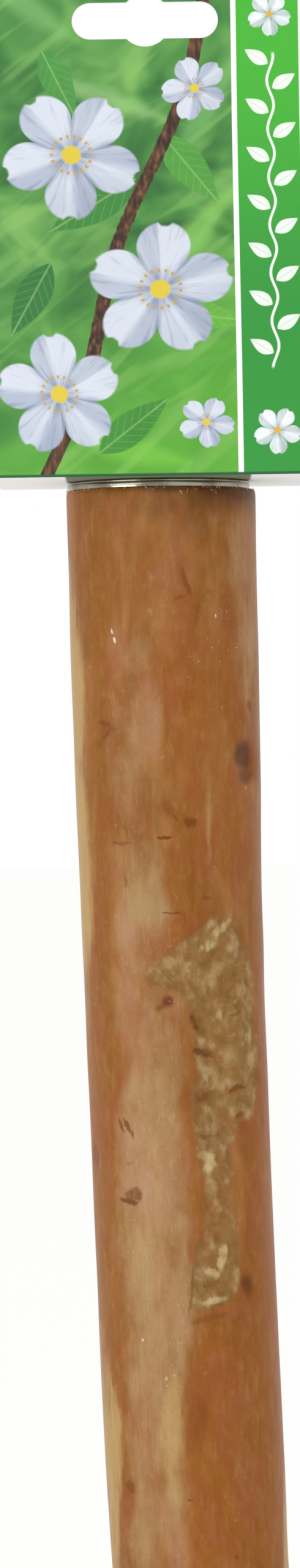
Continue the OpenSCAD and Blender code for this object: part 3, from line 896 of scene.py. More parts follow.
# Fibres and pores run along the stem. They are faint on smooth skin and stronger in the worn and sheen zone
fibre_share = add(tree, "MULTIPLY_ADD", rubbed_and_sheen, 0.20, 0.04)
pore_share = add(tree, "MULTIPLY_ADD", rubbed_and_sheen, 0.26, 0.10)
base = tint(tree, base, "#C6A480", fibres, 0.54, 0.74, fibre_share)
base = tint(tree, base, "#74400E", fibres, 0.40, 0.22, 0.05)
base = tint(tree, base, "#D2B08C", grit, 0.58, 0.76, pore_share)
print("nodes so far:", len(tree.nodes))

# %% [markdown]
# In the torn places hollows are dark olive and ridges are pale straw, and both follow
# the mesh's own relief. Ripped fibres curl, which thin crooked lines show: pale on
# their lit side and dark on the other.

# %% Torn colours
torn_height = add(tree, "ADD", mark["crumb"], centred(breakup, 0.55))
torn_height = add(tree, "ADD", torn_height, centred(patches, 1.1))
torn_tone = add(tree, "ramp", torn_height, stops=[
    (0.12, "#6F522C"), (0.40, "#836339"), (0.62, "#8F6F44"), (0.92, "#A68B60")])
torn_tone = tint(tree, torn_tone, "#8F6230", mark["crumb"], 0.62, 0.40, 0.35)
curl = grain(tree, place, (5.5, 5.5, 4.6), detail=1, distort=1.3)
# A line's level in the noise and its width, the levels of the patches that show it, its share and tone
CURLS = [(0.53, 0.045, 0.46, 0.60, 0.26, "#AB9365"), (0.45, 0.060, 0.56, 0.42, 0.34, "#6A4F2A")]
for level, width, low, high, share, tone in CURLS:
    beside = add(tree, "ABSOLUTE", add(tree, "SUBTRACT", curl, level))
    shown = add(tree, "ease", patches, low, high, 0.0, share)
    torn_tone = tint(tree, torn_tone, tone, beside, width, 0.005, shown)
ripped = within("torn", centred(breakup, 1.1), 0.0, 1.0, 0.90)
base = add(tree, "mix", ripped, base, torn_tone)
cream_edge = add(tree, "ADD", centred(breakup, 1.5), centred(mark["crumb"], 0.5))
base = add(tree, "mix", within("cream", cream_edge, 0.20, 1.15, 0.64), base, "#CCB888")
print("nodes so far:", len(tree.nodes))

# %% [markdown]
# Dark marks and strokes come over the skin, then the painted shadow under the large
# washer, and last the fresh pale scratches and specks. Peeled skin has a satin gloss.
# Torn wood has none, because its fibres stand up, and they also give it its bump.

# %% Dark marks, scratches and gloss
marked = within("dark", centred(breakup, 0.8), 0.08, 0.90, 0.85)
darkened = add(tree, "MAXIMUM", marked, add(tree, "MULTIPLY", marks, 0.85))
darkest = add(tree, "MAXIMUM", mark["dark"], add(tree, "MULTIPLY", marks, 0.9))
dark_tone = add(tree, "ramp", darkest, stops=[(0.30, "#82481A"), (0.85, "#5F3110"), (0.97, "#3A1D0A")])
base = add(tree, "mix", darkened, base, dark_tone)
# The painted shadow under the large washer and the card's base
base = add(tree, "mix", within("painted_shadow", centred(zones, 0.8), 0.0, 1.0, 0.80), base, "#43260E")
scratch = within("fleck", centred(grit, 0.35), 0.62, 0.80, 1.0)
specks = grain(tree, place, (0.42, 0.42, 0.6), detail=1)
scatter = add(tree, "ease", specks, 0.74, 0.80, 0.0, add(tree, "ease", mark["fleck"], 0.1, 0.4))
bare = add(tree, "MULTIPLY", add(tree, "MAXIMUM", scratch, scatter), 0.8)
base = add(tree, "mix", bare, base, "#E6D2B4")
rough = add(tree, "ADD", add(tree, "MULTIPLY_ADD", ripped, 0.34, 0.41), centred(grit, 0.22))
feed(shader, {"Base Color": base, "Roughness": rough, "IOR": 1.40, "Specular IOR Level": 0.19})
height = add(tree, "MULTIPLY_ADD", grit, 0.40, add(tree, "MULTIPLY", fibres, 0.16))
height = add(tree, "MULTIPLY_ADD", add(tree, "MULTIPLY", breakup, ripped), 1.5, height)
height = add(tree, "MULTIPLY_ADD", darkened, -0.5, height)
feed(shader, {"Normal": add(tree, "bump", height, 0.5, 0.14 * MM)})
print("nodes in the peeled wood:", len(tree.nodes))

# %% [markdown]
# ## The branch: sawn ends
# A saw cuts straight across the stem, so the ends show growth rings round a pith that
# is not quite central, fine rays and short drying cracks, under the parallel ridges
# that the saw's teeth leave. Cut ends are paler than the skin. An image of end grain
# could lie on them, but rings drawn by their distance from the pith fit any section.

# %% Sawn end material
PITH_X, PITH_Y, RING_STEP = 2.1 * MM, -1.2 * MM, 1.7 * MM
# How often the rays' noise changes in a radian round the pith, and in a metre outwards
RAYS_ROUND, RAYS_OUT = 14.0, 120.0
sawn, tree, shader = material("sawn end grain with growth rings")
place = add(tree, "ShaderNodeAttribute", attribute_name="straight").outputs["Vector"]
axes = add(tree, "ShaderNodeSeparateXYZ", place).outputs
wobble = grain(tree, place, (6, 6, 50), detail=2)
off_x = add(tree, "SUBTRACT", axes["X"], PITH_X)
off_y = add(tree, "SUBTRACT", axes["Y"], PITH_Y)
far = add(tree, "SQRT", add(tree, "MULTIPLY_ADD", off_x, off_x, add(tree, "MULTIPLY", off_y, off_y)))
ring_place = add(tree, "MULTIPLY_ADD", wobble, 2.2, add(tree, "DIVIDE", far, RING_STEP))
ring = add(tree, "FRACT", ring_place)
tone = add(tree, "ramp", ring, stops=[
    (0.0, "#C9A877"), (0.55, "#C19C69"), (0.85, "#A67B4B"), (1.0, "#BE9A68")])
ray_angle = add(tree, "MULTIPLY", add(tree, "ARCTAN2", off_y, off_x), RAYS_ROUND)
ray_place = add(tree, "ShaderNodeCombineXYZ", ray_angle, add(tree, "MULTIPLY", far, RAYS_OUT))
rays = add(tree, "ShaderNodeTexNoise", {"Vector": ray_place, "Scale": 1.0, "Detail": 3.0})
tone = tint(tree, tone, "#8C6238", rays, 0.55, 0.75, 0.45)
# Heartwood, pith and the darker rim, each by its distance from the pith
tone = tint(tree, tone, "#8E5F3A", far, 9 * MM, 4 * MM, 0.5)
tone = tint(tree, tone, "#5A3A24", far, 1.3 * MM, 0.7 * MM)
tone = tint(tree, tone, "#9A6B42", far, 16.5 * MM, 20.5 * MM, 0.55)
feed(shader, {"Base Color": tone, "Roughness": 0.78})
saw_lines = grain(tree, place, (40, 0.7, 40), detail=2)
ridges = add(tree, "MULTIPLY_ADD", ring, 0.3, saw_lines)
feed(shader, {"Normal": add(tree, "bump", ridges, 0.6, 0.25 * MM)})

branch_mesh.materials.append(wood)
branch_mesh.materials.append(sawn)
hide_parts("perch_branch")
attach(branch, "perch")
print("materials on the branch:", [m.name for m in branch_mesh.materials])

# %% [markdown]
# ## Frayed fibres at the saw cuts
# The saw leaves a fringe of short pale fibres round each cut, and at the front of the
# top a tuft of longer ones that droop. They could be hair, but hair has no faces, which
# are all that an STL file holds. Geometry Nodes make thin cones instead. These helpers
# build a tree and run it on an object.

# %% Geometry Nodes on an object


def node_tree(name, inputs):
    """A Geometry Nodes tree with a mesh in and out and named inputs, each given as its socket's kind.

    Returns the tree, its inputs, and the identifiers that a modifier knows them by."""
    tree = bpy.data.node_groups.new(name, "GeometryNodeTree")
    tree.is_modifier = True
    identifiers = {}
    for label, kind in {"Geometry": "Geometry", **inputs}.items():
        item = tree.interface.new_socket(name=label, in_out="INPUT", socket_type="NodeSocket" + kind)
        identifiers[label] = item.identifier
    tree.interface.new_socket(name="Geometry", in_out="OUTPUT", socket_type="NodeSocketGeometry")
    return tree, add(tree, "NodeGroupInput").outputs, identifiers


def end_tree(tree, shape, paint):
    """The last steps of a tree: its instances become real faces and get their material."""
    real = add(tree, "GeometryNodeRealizeInstances", shape)
    painted = add(tree, "GeometryNodeSetMaterial", {"Geometry": real, "Material": paint})
    add(tree, "NodeGroupOutput", {"Geometry": painted})


def plain_mesh(thing):
    """Replaces an object's mesh by its evaluated one, and drops its modifiers."""
    graph = bpy.context.evaluated_depsgraph_get()
    graph.update()
    baked = bpy.data.meshes.new_from_object(thing.evaluated_get(graph))
    thing.modifiers.clear()
    thing.data = baked


def run_nodes(thing, tree, identifiers, values):
    """Puts a tree on an object, sets its inputs and keeps the result as a plain mesh."""
    modifier = thing.modifiers.new(tree.name, "NODES")
    modifier.node_group = tree
    for label, value in values.items():
        modifier[identifiers[label]] = value
    plain_mesh(thing)


print("node groups of the materials so far:", [group.name for group in bpy.data.node_groups])

# %% [markdown]
# The rim is a line, points are spaced on it, and each point gets a thin cone that leans
# at random. The tree's inputs are the number, length, thickness, droop and seed.

# %% Fibre nodes
CONE_SIDES = 4
# A cone leans by up to this many radians, and may stand at any angle round its length
LEAN, ANY_ANGLE = 0.9, 6.28
# The shares of the named thickness and length between which the fibres vary
THINNEST, THICKEST, SHORTEST, LONGEST = 0.5, 1.5, 0.25, 1.3
fibre_tree, given, fibre_ids = node_tree("frayed fibres along a rim", {
    "Count": "Int", "Length": "Float", "Thickness": "Float", "Droop": "Vector", "Seed": "Int",
    "Material": "Material"})
line = add(fibre_tree, "GeometryNodeMeshToCurve", given["Geometry"])
spaced = add(fibre_tree, "GeometryNodeResampleCurve", {"Curve": line, "Count": given["Count"]})
cone = add(fibre_tree, "GeometryNodeMeshCone", {"Vertices": CONE_SIDES, "Radius Bottom": given["Thickness"],
                                                "Depth": given["Length"]})
lean = add(fibre_tree, "FunctionNodeRandomValue",
           {0: (-LEAN, -LEAN, 0.0), 1: (LEAN, LEAN, ANY_ANGLE), "Seed": given["Seed"]},
           data_type="FLOAT_VECTOR")
turned = add(fibre_tree, "ShaderNodeVectorMath", lean, given["Droop"], operation="ADD")
size = add(fibre_tree, "FunctionNodeRandomValue",
           {0: (THINNEST, THINNEST, SHORTEST), 1: (THICKEST, THICKEST, LONGEST), "Seed": given["Seed"]},
           data_type="FLOAT_VECTOR")
planted = add(fibre_tree, "GeometryNodeInstanceOnPoints", {
    "Points": spaced, "Instance": cone, "Rotation": turned, "Scale": size})
end_tree(fibre_tree, planted, given["Material"])
print("inputs of the fibre tree:", list(fibre_ids))

# %% [markdown]
# Dry fibre scatters the light inside it, so it looks matt and paler than the wood that
# it was torn from.

# %% Fringes
# The tufts stand between these two pixels x
TUFT_PX = (245, 352)
fibre_paint, tree, shader = material("dry pale wood fibre")
place = add(tree, "ShaderNodeTexCoord").outputs["Object"]
fibre_tone = add(tree, "ramp", grain(tree, place, (1, 1, 1)), stops=[(0.3, "#C79F70"), (0.7, "#E3C79C")])
feed(shader, {"Base Color": fibre_tone, "Roughness": 0.8})


def fringe(name, row, lift, count, length, seed, thick=0.09 * MM, droop=0.0, part=None):
    """Fibres round one saw cut, or only on the front of its rim between two pixels x.

    The rim's own points, lifted along Z, make the line that they stand on."""
    rim = points[row] + np.array([0, 0, lift])
    pairs = [(i, (i + 1) % len(rim)) for i in range(len(rim))]
    if part:
        inside = (PX[row] > part[0]) & (PX[row] < part[1]) & (rim[:, 1] < 0)
        pairs = [(i, j) for i, j in pairs if inside[i] and inside[j]]
    line = bpy.data.meshes.new(name)
    line.from_pydata([tuple(p) for p in rim], pairs, [])
    made = bpy.data.objects.new(name, line)
    scene.collection.objects.link(made)
    run_nodes(made, fibre_tree, fibre_ids, {
        "Count": count, "Length": length, "Thickness": thick, "Droop": (droop, 0.0, 0.0), "Seed": seed,
        "Material": fibre_paint})
    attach(made, "perch")
    print(name, "faces:", len(made.data.polygons))


fringe("frayed_fibres_top", 0, lift=-0.35 * MM, count=170, length=0.9 * MM, seed=3, thick=0.07 * MM)
fringe("frayed_tufts_top", 0, lift=-0.4 * MM, count=46, length=1.5 * MM, seed=5, thick=0.12 * MM, droop=2.7,
       part=TUFT_PX)
fringe("frayed_fibres_foot", n_rows - 1, lift=0.35 * MM, count=180, length=1.2 * MM, seed=8)

# %% [markdown]
# ## The header card: folded sheet
# The card is one sheet of 0.5 mm board. It is folded at the two ends of its base and
# its two panels curve in until they lie flat together at the header. It could be made
# as a flat sheet and bent by a modifier. Here its side view is drawn as pairs of
# points, outside and inside, and moved along X, because a curve that is known as a
# rule needs no simulation.

# %% Card side view
CARD_W = card_high[0] - card_low[0]
CARD_DEPTH = card_high[1] - card_low[1]
BASE_Z, CARD_TOP = card_low[2], card_high[2]
CARD_T, FOLD_R, HEADER_H, HEADER_GAP = 0.5 * MM, 1.1 * MM, 22 * MM, 0.2 * MM
HEADER_STRIPS, CARD_STRIPS, FOLD_STRIPS, BASE_STRIPS = 12, 110, 8, 13
NECK_Z = CARD_TOP - HEADER_H


def half_depth(up):
    """Half the card's depth at a share of the way from the base to the header."""
    down = 1 - up
    neck = HEADER_GAP / 2 + CARD_T
    return neck + (CARD_DEPTH / 2 - neck) * down * down * (3 - 2 * down)


def card_pairs():
    """Outside and inside points (y, z) of the back half, from the header's edge to the base's middle."""
    curve_low = BASE_Z + FOLD_R
    fold_y = CARD_DEPTH / 2 - FOLD_R
    pairs = [((HEADER_GAP / 2 + CARD_T, z), (HEADER_GAP / 2, z))
             for z in np.linspace(CARD_TOP, NECK_Z, HEADER_STRIPS, endpoint=False)]
    for up in np.linspace(1, 0, CARD_STRIPS + 1):
        z = curve_low + (NECK_Z - curve_low) * up
        pairs.append(((half_depth(up), z), (half_depth(up) - CARD_T, z)))
    for a in np.radians(np.linspace(0, 90, FOLD_STRIPS + 1))[1:]:
        pairs.append([(fold_y + r * math.cos(a), curve_low - r * math.sin(a))
                      for r in (FOLD_R, FOLD_R - CARD_T)])
    for y in np.linspace(fold_y, 0, BASE_STRIPS + 1)[1:]:
        pairs.append(((y, BASE_Z), (y, BASE_Z + CARD_T)))
    return np.array(pairs)


half = card_pairs()
mirrored = half[::-1][1:].copy()
mirrored[..., 0] *= -1
side_view = np.concatenate([half, mirrored])
print("points along the side view:", len(side_view))

# %% [markdown]
# The side view becomes a closed sheet with an outer and an inner skin and four cut
# edges. Each face is told which layer of the card it shows: print on the front, print
# on the back, or bare board.

# %% Card mesh
CARD_COLUMNS, BOW, FOLD_SHOWN = 34, 0.25 * MM, 0.06 * MM
PRINT_FRONT, PRINT_BACK, BARE = 0, 1, 2


def open_edges(mesh):
    """How many edges don't have exactly two faces: 0 on a closed mesh."""
    work = bmesh.new()
    work.from_mesh(mesh)
    count = sum(1 for edge in work.edges if not edge.is_manifold)
    work.free()
    return count


across = np.linspace(-CARD_W / 2, CARD_W / 2, CARD_COLUMNS + 1)
n_pairs, n_across = len(side_view), len(across)
card_points = np.zeros((2, n_pairs, n_across, 3))
card_points[..., 0] = across
card_points[..., 1] = np.moveaxis(side_view[..., 0], 1, 0)[..., None]
card_points[..., 2] = np.moveaxis(side_view[..., 1], 1, 0)[..., None]
# Board never lies quite flat: the panels' middles bow inwards by a quarter of a millimetre
bow = np.sin(np.pi * np.clip((card_points[..., 2] - BASE_Z) / (NECK_Z - BASE_Z), 0, 1)) ** 2
bow *= 0.5 + 0.5 * np.cos(2 * np.pi * card_points[..., 0] / CARD_W)
card_points[..., 1] -= np.sign(card_points[..., 1]) * BOW * bow
outer, inner = np.arange(card_points[..., 0].size).reshape(2, n_pairs, n_across)
quads = [np.stack([outer[:-1, :-1], outer[:-1, 1:], outer[1:, 1:], outer[1:, :-1]], -1).reshape(-1, 4),
         np.stack([inner[:-1, :-1], inner[1:, :-1], inner[1:, 1:], inner[:-1, 1:]], -1).reshape(-1, 4)]
for k in (0, -1):
    way = 1 if k == 0 else -1
    quads.append(np.stack([outer[:-1, k], outer[1:, k], inner[1:, k], inner[:-1, k]], -1)[:, ::way])
    quads.append(np.stack([outer[k, :-1], inner[k, :-1], inner[k, 1:], outer[k, 1:]], -1)[:, ::way])
card_faces = np.concatenate(quads)
card = mesh_object("folded_card", card_points.reshape(-1, 3), card_faces.tolist())

middles = card_points.reshape(-1, 3)[card_faces].mean(1)
layer = np.full(len(card_faces), BARE)
layer[:len(quads[0])] = np.where(middles[:len(quads[0]), 1] > 0, PRINT_BACK, PRINT_FRONT)
layer[middles[:, 2] < BASE_Z + FOLD_SHOWN] = BARE
card.data.polygons.foreach_set("material_index", layer.astype(np.int32))
print("sheet faces:", len(card.data.polygons), "open edges:", open_edges(card.data))

# %% [markdown]
# The real card is die cut. Here two punches cut the sheet after it is folded: the hang
# slot goes through both panels, and the bolt's hole through the base. The sheet's grid
# could be drawn round the openings instead, but then it would have to bend with them.
# A punch is an outline drawn out along one axis.

# %% Punches


def prism(outline, axis, low, high):
    """Points and faces of an outline in two axes, drawn out along the third."""
    n = len(outline)
    ends = [np.insert(outline, axis, end, axis=1) for end in (low, high)]
    walls = [(k, (k + 1) % n, (k + 1) % n + n, k + n) for k in range(n)]
    return np.concatenate(ends), walls + [tuple(range(n))[::-1], tuple(range(n, 2 * n))]


def cutter(name, points, faces):
    """A closed mesh that a Boolean takes away. Its faces bring the bare board's material."""
    made = mesh_object(name, points, faces, smooth=False)
    for _ in range(BARE + 1):
        made.data.materials.append(None)
    made.data.polygons.foreach_set("material_index", [BARE] * len(faces))
    work = bmesh.new()
    work.from_mesh(made.data)
    bmesh.ops.recalc_face_normals(work, faces=work.faces)
    work.to_mesh(made.data)
    work.free()
    return made


square = np.array([(-1, -1), (1, -1), (1, 1), (-1, 1)])
print("faces of a square prism:", len(prism(square, 2, 0, 1)[1]))

# %% [markdown]
# The slot's outline is two round ends with a larger round hub in the middle. That is
# the usual shape for a peg hook, which finds its place in the hub.

# %% Punched holes
SLOT_W, SLOT_H, HUB_D = 32 * MM, 8 * MM, 11.4 * MM
HOLE_PLAY, HOLE_SIDES, ARM_POINTS, HUB_POINTS = 0.5 * MM, 48, 25, 21
CARD_SHARP = math.radians(35)
arm_x, arm_r, hub_r = (SLOT_W - SLOT_H) / 2, SLOT_H / 2, HUB_D / 2
meet = math.asin(arm_r / hub_r)
arm = np.radians(np.linspace(-90, 90, ARM_POINTS))
hub = np.linspace(meet, math.pi - meet, HUB_POINTS)
right_end = np.stack([arm_x + arm_r * np.cos(arm), arm_r * np.sin(arm)], 1)
hub_top = np.stack([hub_r * np.cos(hub), hub_r * np.sin(hub)], 1)
slot_outline = np.concatenate([right_end, hub_top, -right_end, -hub_top])
turns = np.radians(np.linspace(0, 360, HOLE_SIDES, endpoint=False))
hole_r = BOLT_R + HOLE_PLAY
hole_outline = np.stack([BOLT_X + hole_r * np.cos(turns), hole_r * np.sin(turns)], 1)
punches = [cutter("slot_punch", *prism(slot_outline, 1, -CARD_DEPTH / 2, CARD_DEPTH / 2)),
           cutter("hole_punch", *prism(hole_outline, 2, BASE_Z - MM, BASE_Z + 2 * MM))]
for _ in range(BARE + 1):
    card.data.materials.append(None)
for punch in punches:
    cut = card.modifiers.new(punch.name, "BOOLEAN")
    cut.object, cut.operation, cut.solver = punch, "DIFFERENCE", "EXACT"
plain_mesh(card)
for punch in punches:
    bpy.data.objects.remove(punch)
card.data.set_sharp_from_angle(angle=CARD_SHARP)
# Where the hub's top and bottom meet a column of the sheet, the Boolean leaves a few short edges open
print("card faces:", len(card.data.polygons), "open edges:", open_edges(card.data))

# %% [markdown]
# ## The header card: print
# The board is white and is printed on its outer faces under a thin gloss varnish. The
# design here is a plain garden one: leaves out of focus, a twig and pale blossoms, with
# a white rule and a green strip beside it. Leaves and blossoms repeat, so each is one
# node group with its centre, size and turn as inputs. An image could hold the print,
# but nodes keep it sharp and need no file. Offset print has a dot screen too fine to
# see, so none is drawn.

# %% Printed leaf
leaf, given, along, across = shape_group("printed leaf", ("Softness",), ("Inside", "Vein"))
side = add(leaf, "ABSOLUTE", across)
# Wide near the stalk and narrow towards the tip
belly = add(leaf, "SUBTRACT", 1.0, add(leaf, "MULTIPLY", along, along))
taper = add(leaf, "MAXIMUM", add(leaf, "SUBTRACT", 1.0, add(leaf, "MULTIPLY", along, 0.38)), 0.05)
edge = add(leaf, "SUBTRACT", add(leaf, "MULTIPLY", belly, taper), side)
inside = add(leaf, "ease", {"Value": edge, "From Min": 0.0, "From Max": given["Softness"]})
rib = add(leaf, "ease", side, 0.085, 0.02)
slanted = add(leaf, "SUBTRACT", along, add(leaf, "MULTIPLY", side, 0.42))
repeated = add(leaf, "FRACT", add(leaf, "MULTIPLY", slanted, 4.5))
veins = add(leaf, "ease", add(leaf, "ABSOLUTE", add(leaf, "SUBTRACT", repeated, 0.5)), 0.09, 0.02, 0.0, 0.45)
add(leaf, "NodeGroupOutput", {"Inside": inside, "Vein": add(leaf, "MAXIMUM", rib, veins)})
print("leaf nodes:", len(leaf.nodes))

# %% [markdown]
# A blossom has five petals, which one cosine of the angle gives, and soft shade.

# %% Printed blossom
blossom, given, along, across = shape_group("printed blossom", (), ("Inside", "Shade", "Eye", "Anthers"))
squared = add(blossom, "MULTIPLY_ADD", along, along, add(blossom, "MULTIPLY", across, across))
far = add(blossom, "SQRT", squared)
angle = add(blossom, "ARCTAN2", across, along)
# 1 on the middle of each of five petals and 0 on the seams between them
petal = add(blossom, "ABSOLUTE", add(blossom, "COSINE", add(blossom, "MULTIPLY", angle, 2.5)))
notch = add(blossom, "ease", petal, 0.965, 1.0, 0.0, 0.06)
reach = add(blossom, "MULTIPLY_ADD", add(blossom, "POWER", petal, 0.55), 0.49, 0.50)
edge = add(blossom, "SUBTRACT", add(blossom, "SUBTRACT", reach, notch), far)
inside = add(blossom, "ease", edge, 0.0, 0.05)
seam = add(blossom, "ease", far, 0.12, 0.50, 0.0, add(blossom, "ease", petal, 0.34, 0.0, 0.0, 0.75))
nine_turns = add(blossom, "MULTIPLY", angle, 9.0)
fan = add(blossom, "ShaderNodeCombineXYZ", nine_turns, add(blossom, "MULTIPLY", far, 1.6))
lines = add(blossom, "ShaderNodeTexNoise", {"Vector": fan, "Scale": 1.0})
one_side = add(blossom, "SINE", add(blossom, "MULTIPLY", angle, 5.0))
away = add(blossom, "MULTIPLY_ADD", across, -0.8, add(blossom, "MULTIPLY", along, 0.6))
# Shade comes from the seams, fine lines, the cupped middle, the petals' overlaps and the light's side
shade = seam
for pattern, low, high, share in ((lines, 0.50, 0.72, 0.35), (far, 0.42, 0.10, 0.55),
                                  (one_side, -0.2, 1.0, 0.42), (away, -0.3, 1.0, 0.35)):
    shade = add(blossom, "ADD", shade, add(blossom, "ease", pattern, low, high, 0.0, share))
fold = add(blossom, "ease", petal, 0.86, 1.0, 0.0, 0.15)
shade = add(blossom, "SUBTRACT", shade, fold, use_clamp=True)
spoke = add(blossom, "ABSOLUTE", add(blossom, "COSINE", nine_turns))
circle = add(blossom, "ABSOLUTE", add(blossom, "SUBTRACT", far, 0.27))
anthers = add(blossom, "ease", circle, 0.035, 0.015, 0.0, add(blossom, "ease", spoke, 0.80, 0.92))
eye = add(blossom, "ease", far, 0.16, 0.11)
add(blossom, "NodeGroupOutput", {"Inside": inside, "Shade": shade, "Eye": eye, "Anthers": anthers})
print("blossom nodes:", len(blossom.nodes))

# %% [markdown]
# The print's layers go down as on a press sheet. First come blurred greens, and last a
# rule, a plain strip beyond it and a dark line where the fold turns away, which is a
# painted shade. The front and the back share them, and so does the varnish.

# %% Shared layers of the print
RULE_X, RULE_W, RULE_EDGE = 19.3 * MM, 1.15 * MM, 0.03 * MM


def greens(tree, place):
    """Blurred foliage: large soft clouds of green, lighter low on the right, under slanted pale streaks."""
    clouds = grain(tree, place, (17, 17, 13), detail=2, distort=0.8)
    tone = add(tree, "ramp", clouds, stops=[
        (0.28, "#255C29"), (0.42, "#3B7A36"), (0.55, "#529043"), (0.72, "#76AD56")])
    axes = add(tree, "ShaderNodeSeparateXYZ", place).outputs
    height = add(tree, "SUBTRACT", axes["Z"], add(tree, "MULTIPLY", axes["X"], 0.7))
    tone = tint(tree, tone, "#62B32E", height, -40 * MM, -105 * MM, 0.72)
    slanted = add(tree, "ShaderNodeMapping", {"Vector": place, "Rotation": (0, math.radians(38), 0)})
    streaks = grain(tree, slanted, (30, 30, 5), detail=1, distort=1.0)
    return tint(tree, tone, "#8DC064", streaks, 0.50, 0.70, 0.32)


def strip_and_fold(tree, tone, axes, side):
    """Adds the rule, the strip beyond it and the painted shade line on the fold. Side is 1 or -1 along X."""
    over = add(tree, "SUBTRACT", add(tree, "MULTIPLY", axes["X"], side), RULE_X)
    height = add(tree, "ease", axes["Z"], -70 * MM, -5 * MM)
    strip = add(tree, "ramp", height, stops=[(0.0, "#2B9034"), (1.0, "#42AE2E")])
    tone = tint(tree, tone, strip, over, 0.0, 0.04 * MM)
    off_rule = add(tree, "ABSOLUTE", over)
    tone = tint(tree, tone, "#F7F8F7", off_rule, RULE_W / 2 + RULE_EDGE, RULE_W / 2 - RULE_EDGE)
    # A painted shade: a dark line just above the base, where the fold turns away from the light
    return tint(tree, tone, "#1E5A35", axes["Z"], BASE_Z + 0.80 * MM, BASE_Z + 0.50 * MM)


def varnish(tree, shader, tone, place):
    """Gloss varnish over print: even and smooth, with the board's faint unevenness under it."""
    feed(shader, {"Base Color": tone, "Roughness": 0.42, "Specular IOR Level": 0.30, "Coat Weight": 0.20,
                  "Coat Roughness": 0.16})
    uneven = grain(tree, place, (2.5, 2.5, 2.5))
    feed(shader, {"Normal": add(tree, "bump", uneven, 0.25, 0.03 * MM)})


print("the rule stands mm from the card's edge:", round((CARD_W / 2 - RULE_X) / MM, 1))

# %% [markdown]
# Soft leaves lie behind and sharp ones in front, with the twig between the leaves and
# the blossoms. Each is placed in millimetres from the hang slot. The motifs and their
# places are this lesson's own.

# %% Motifs of the front
# x and z, turn, half length and half width, softness, share and tone
SOFT_LEAVES = [
    (-24, 2, 35, 15, 4.5, 0.9, 0.55, "#7FB96A"), (6, 4, -25, 17, 4, 0.9, 0.5, "#2E6E37"),
    (14, -18, -62, 20, 4.5, 0.8, 0.55, "#79B765"), (-30, -22, 70, 16, 5, 0.9, 0.5, "#2B6530"),
    (10, -48, -50, 22, 4.5, 0.8, 0.5, "#8CCB5E"), (14, -84, -72, 20, 5, 0.8, 0.55, "#4C9A2A"),
    (-2, -96, 12, 16, 4, 0.8, 0.5, "#7CC43F"), (-28, -88, -35, 18, 6, 0.9, 0.5, "#2E7133"),
    (-6, -18, 20, 18, 3.5, 0.9, 0.45, "#A3CF85")]
SHARP_LEAVES = [
    (-12, -41, 148, 11.5, 4.4, 0.10, 0.95, "#3C8A3A"), (9.5, -33, 52, 10.5, 4.0, 0.10, 0.95, "#57A63F"),
    (-25.5, -62, 118, 9.5, 3.8, 0.10, 0.95, "#2F7A38"), (11.5, -66, 8, 9.5, 3.6, 0.12, 0.95, "#6DBB3E"),
    (-3.5, -90, -38, 10, 3.6, 0.12, 0.95, "#3F8F32"), (-19, -14, 64, 9, 3.4, 0.12, 0.95, "#4D9B44")]
# x and z, turn, and half sizes
BLOSSOMS = [
    (-16.5, -29.5, 20, 16.0, 15.2), (2.5, -60.0, -14, 16.6, 15.6), (-19.5, -83, 47, 14.4, 13.6),
    (10.6, -15.0, -40, 7.8, 7.2), (12.0, -89.5, 10, 6.4, 5.8)]
TWIG_HALF, TWIG_SWAY = 2.0 * MM, 1.6 * MM

front_print, tree, shader = material("offset print under gloss varnish, front")
place = add(tree, "ShaderNodeTexCoord").outputs["Object"]
axes = add(tree, "ShaderNodeSeparateXYZ", place).outputs
tone = greens(tree, place)
for *shape, softness, share, leaf_green in SOFT_LEAVES:
    shown = placed(tree, leaf, place, *shape, Softness=softness).outputs
    tone = add(tree, "mix", add(tree, "MULTIPLY", shown["Inside"], share), tone, leaf_green)
# The twig: a narrow band round a wavy slanted line, with rough bark
sway = add(tree, "MULTIPLY", add(tree, "SINE", add(tree, "MULTIPLY", axes["Z"], 95.0)), TWIG_SWAY)
twig_x = add(tree, "MULTIPLY_ADD", axes["Z"], 0.34, 12 * MM)
off_twig = add(tree, "ABSOLUTE", add(tree, "SUBTRACT", add(tree, "ADD", axes["X"], sway), twig_x))
bark = grain(tree, place, (0.8, 0.8, 4))
bark_tone = add(tree, "ramp", bark, stops=[(0.35, "#2E1D14"), (0.55, "#573823"), (0.72, "#84593A")])
mottled = add(tree, "MULTIPLY", grain(tree, place, (3, 3, 3)), 0.45)
for *shape, softness, share, leaf_green in SHARP_LEAVES:
    shown = placed(tree, leaf, place, *shape, Softness=softness).outputs
    leaf_tone = add(tree, "mix", add(tree, "MULTIPLY", shown["Vein"], 0.5), leaf_green, "#A8D67C")
    leaf_tone = add(tree, "mix", mottled, leaf_tone, "#235A26")
    tone = add(tree, "mix", add(tree, "MULTIPLY", shown["Inside"], share), tone, leaf_tone)
rough_edge = add(tree, "MULTIPLY_ADD", bark, 0.7 * MM, off_twig)
tone = tint(tree, tone, bark_tone, rough_edge, TWIG_HALF, TWIG_HALF - 0.25 * MM)
clouded = add(tree, "MULTIPLY", grain(tree, place, (4, 4, 4)), 0.30)
for shape in BLOSSOMS:
    shown = placed(tree, blossom, place, *shape).outputs
    petal_tone = add(tree, "mix", shown["Shade"], "#D6DCE6", "#7F8CA6")
    petal_tone = add(tree, "mix", clouded, petal_tone, "#AAB4C4")
    petal_tone = add(tree, "mix", shown["Eye"], petal_tone, "#D9C23C")
    petal_tone = add(tree, "mix", shown["Anthers"], petal_tone, "#C99A2E")
    tone = add(tree, "mix", shown["Inside"], tone, petal_tone)
tone = strip_and_fold(tree, tone, axes, 1)
print("nodes in the front print:", len(tree.nodes))

# %% [markdown]
# The strip carries a climbing sprig in white. Its leaves stand on both sides of a wavy
# stalk, by turns, and a small blossom closes it above and below.

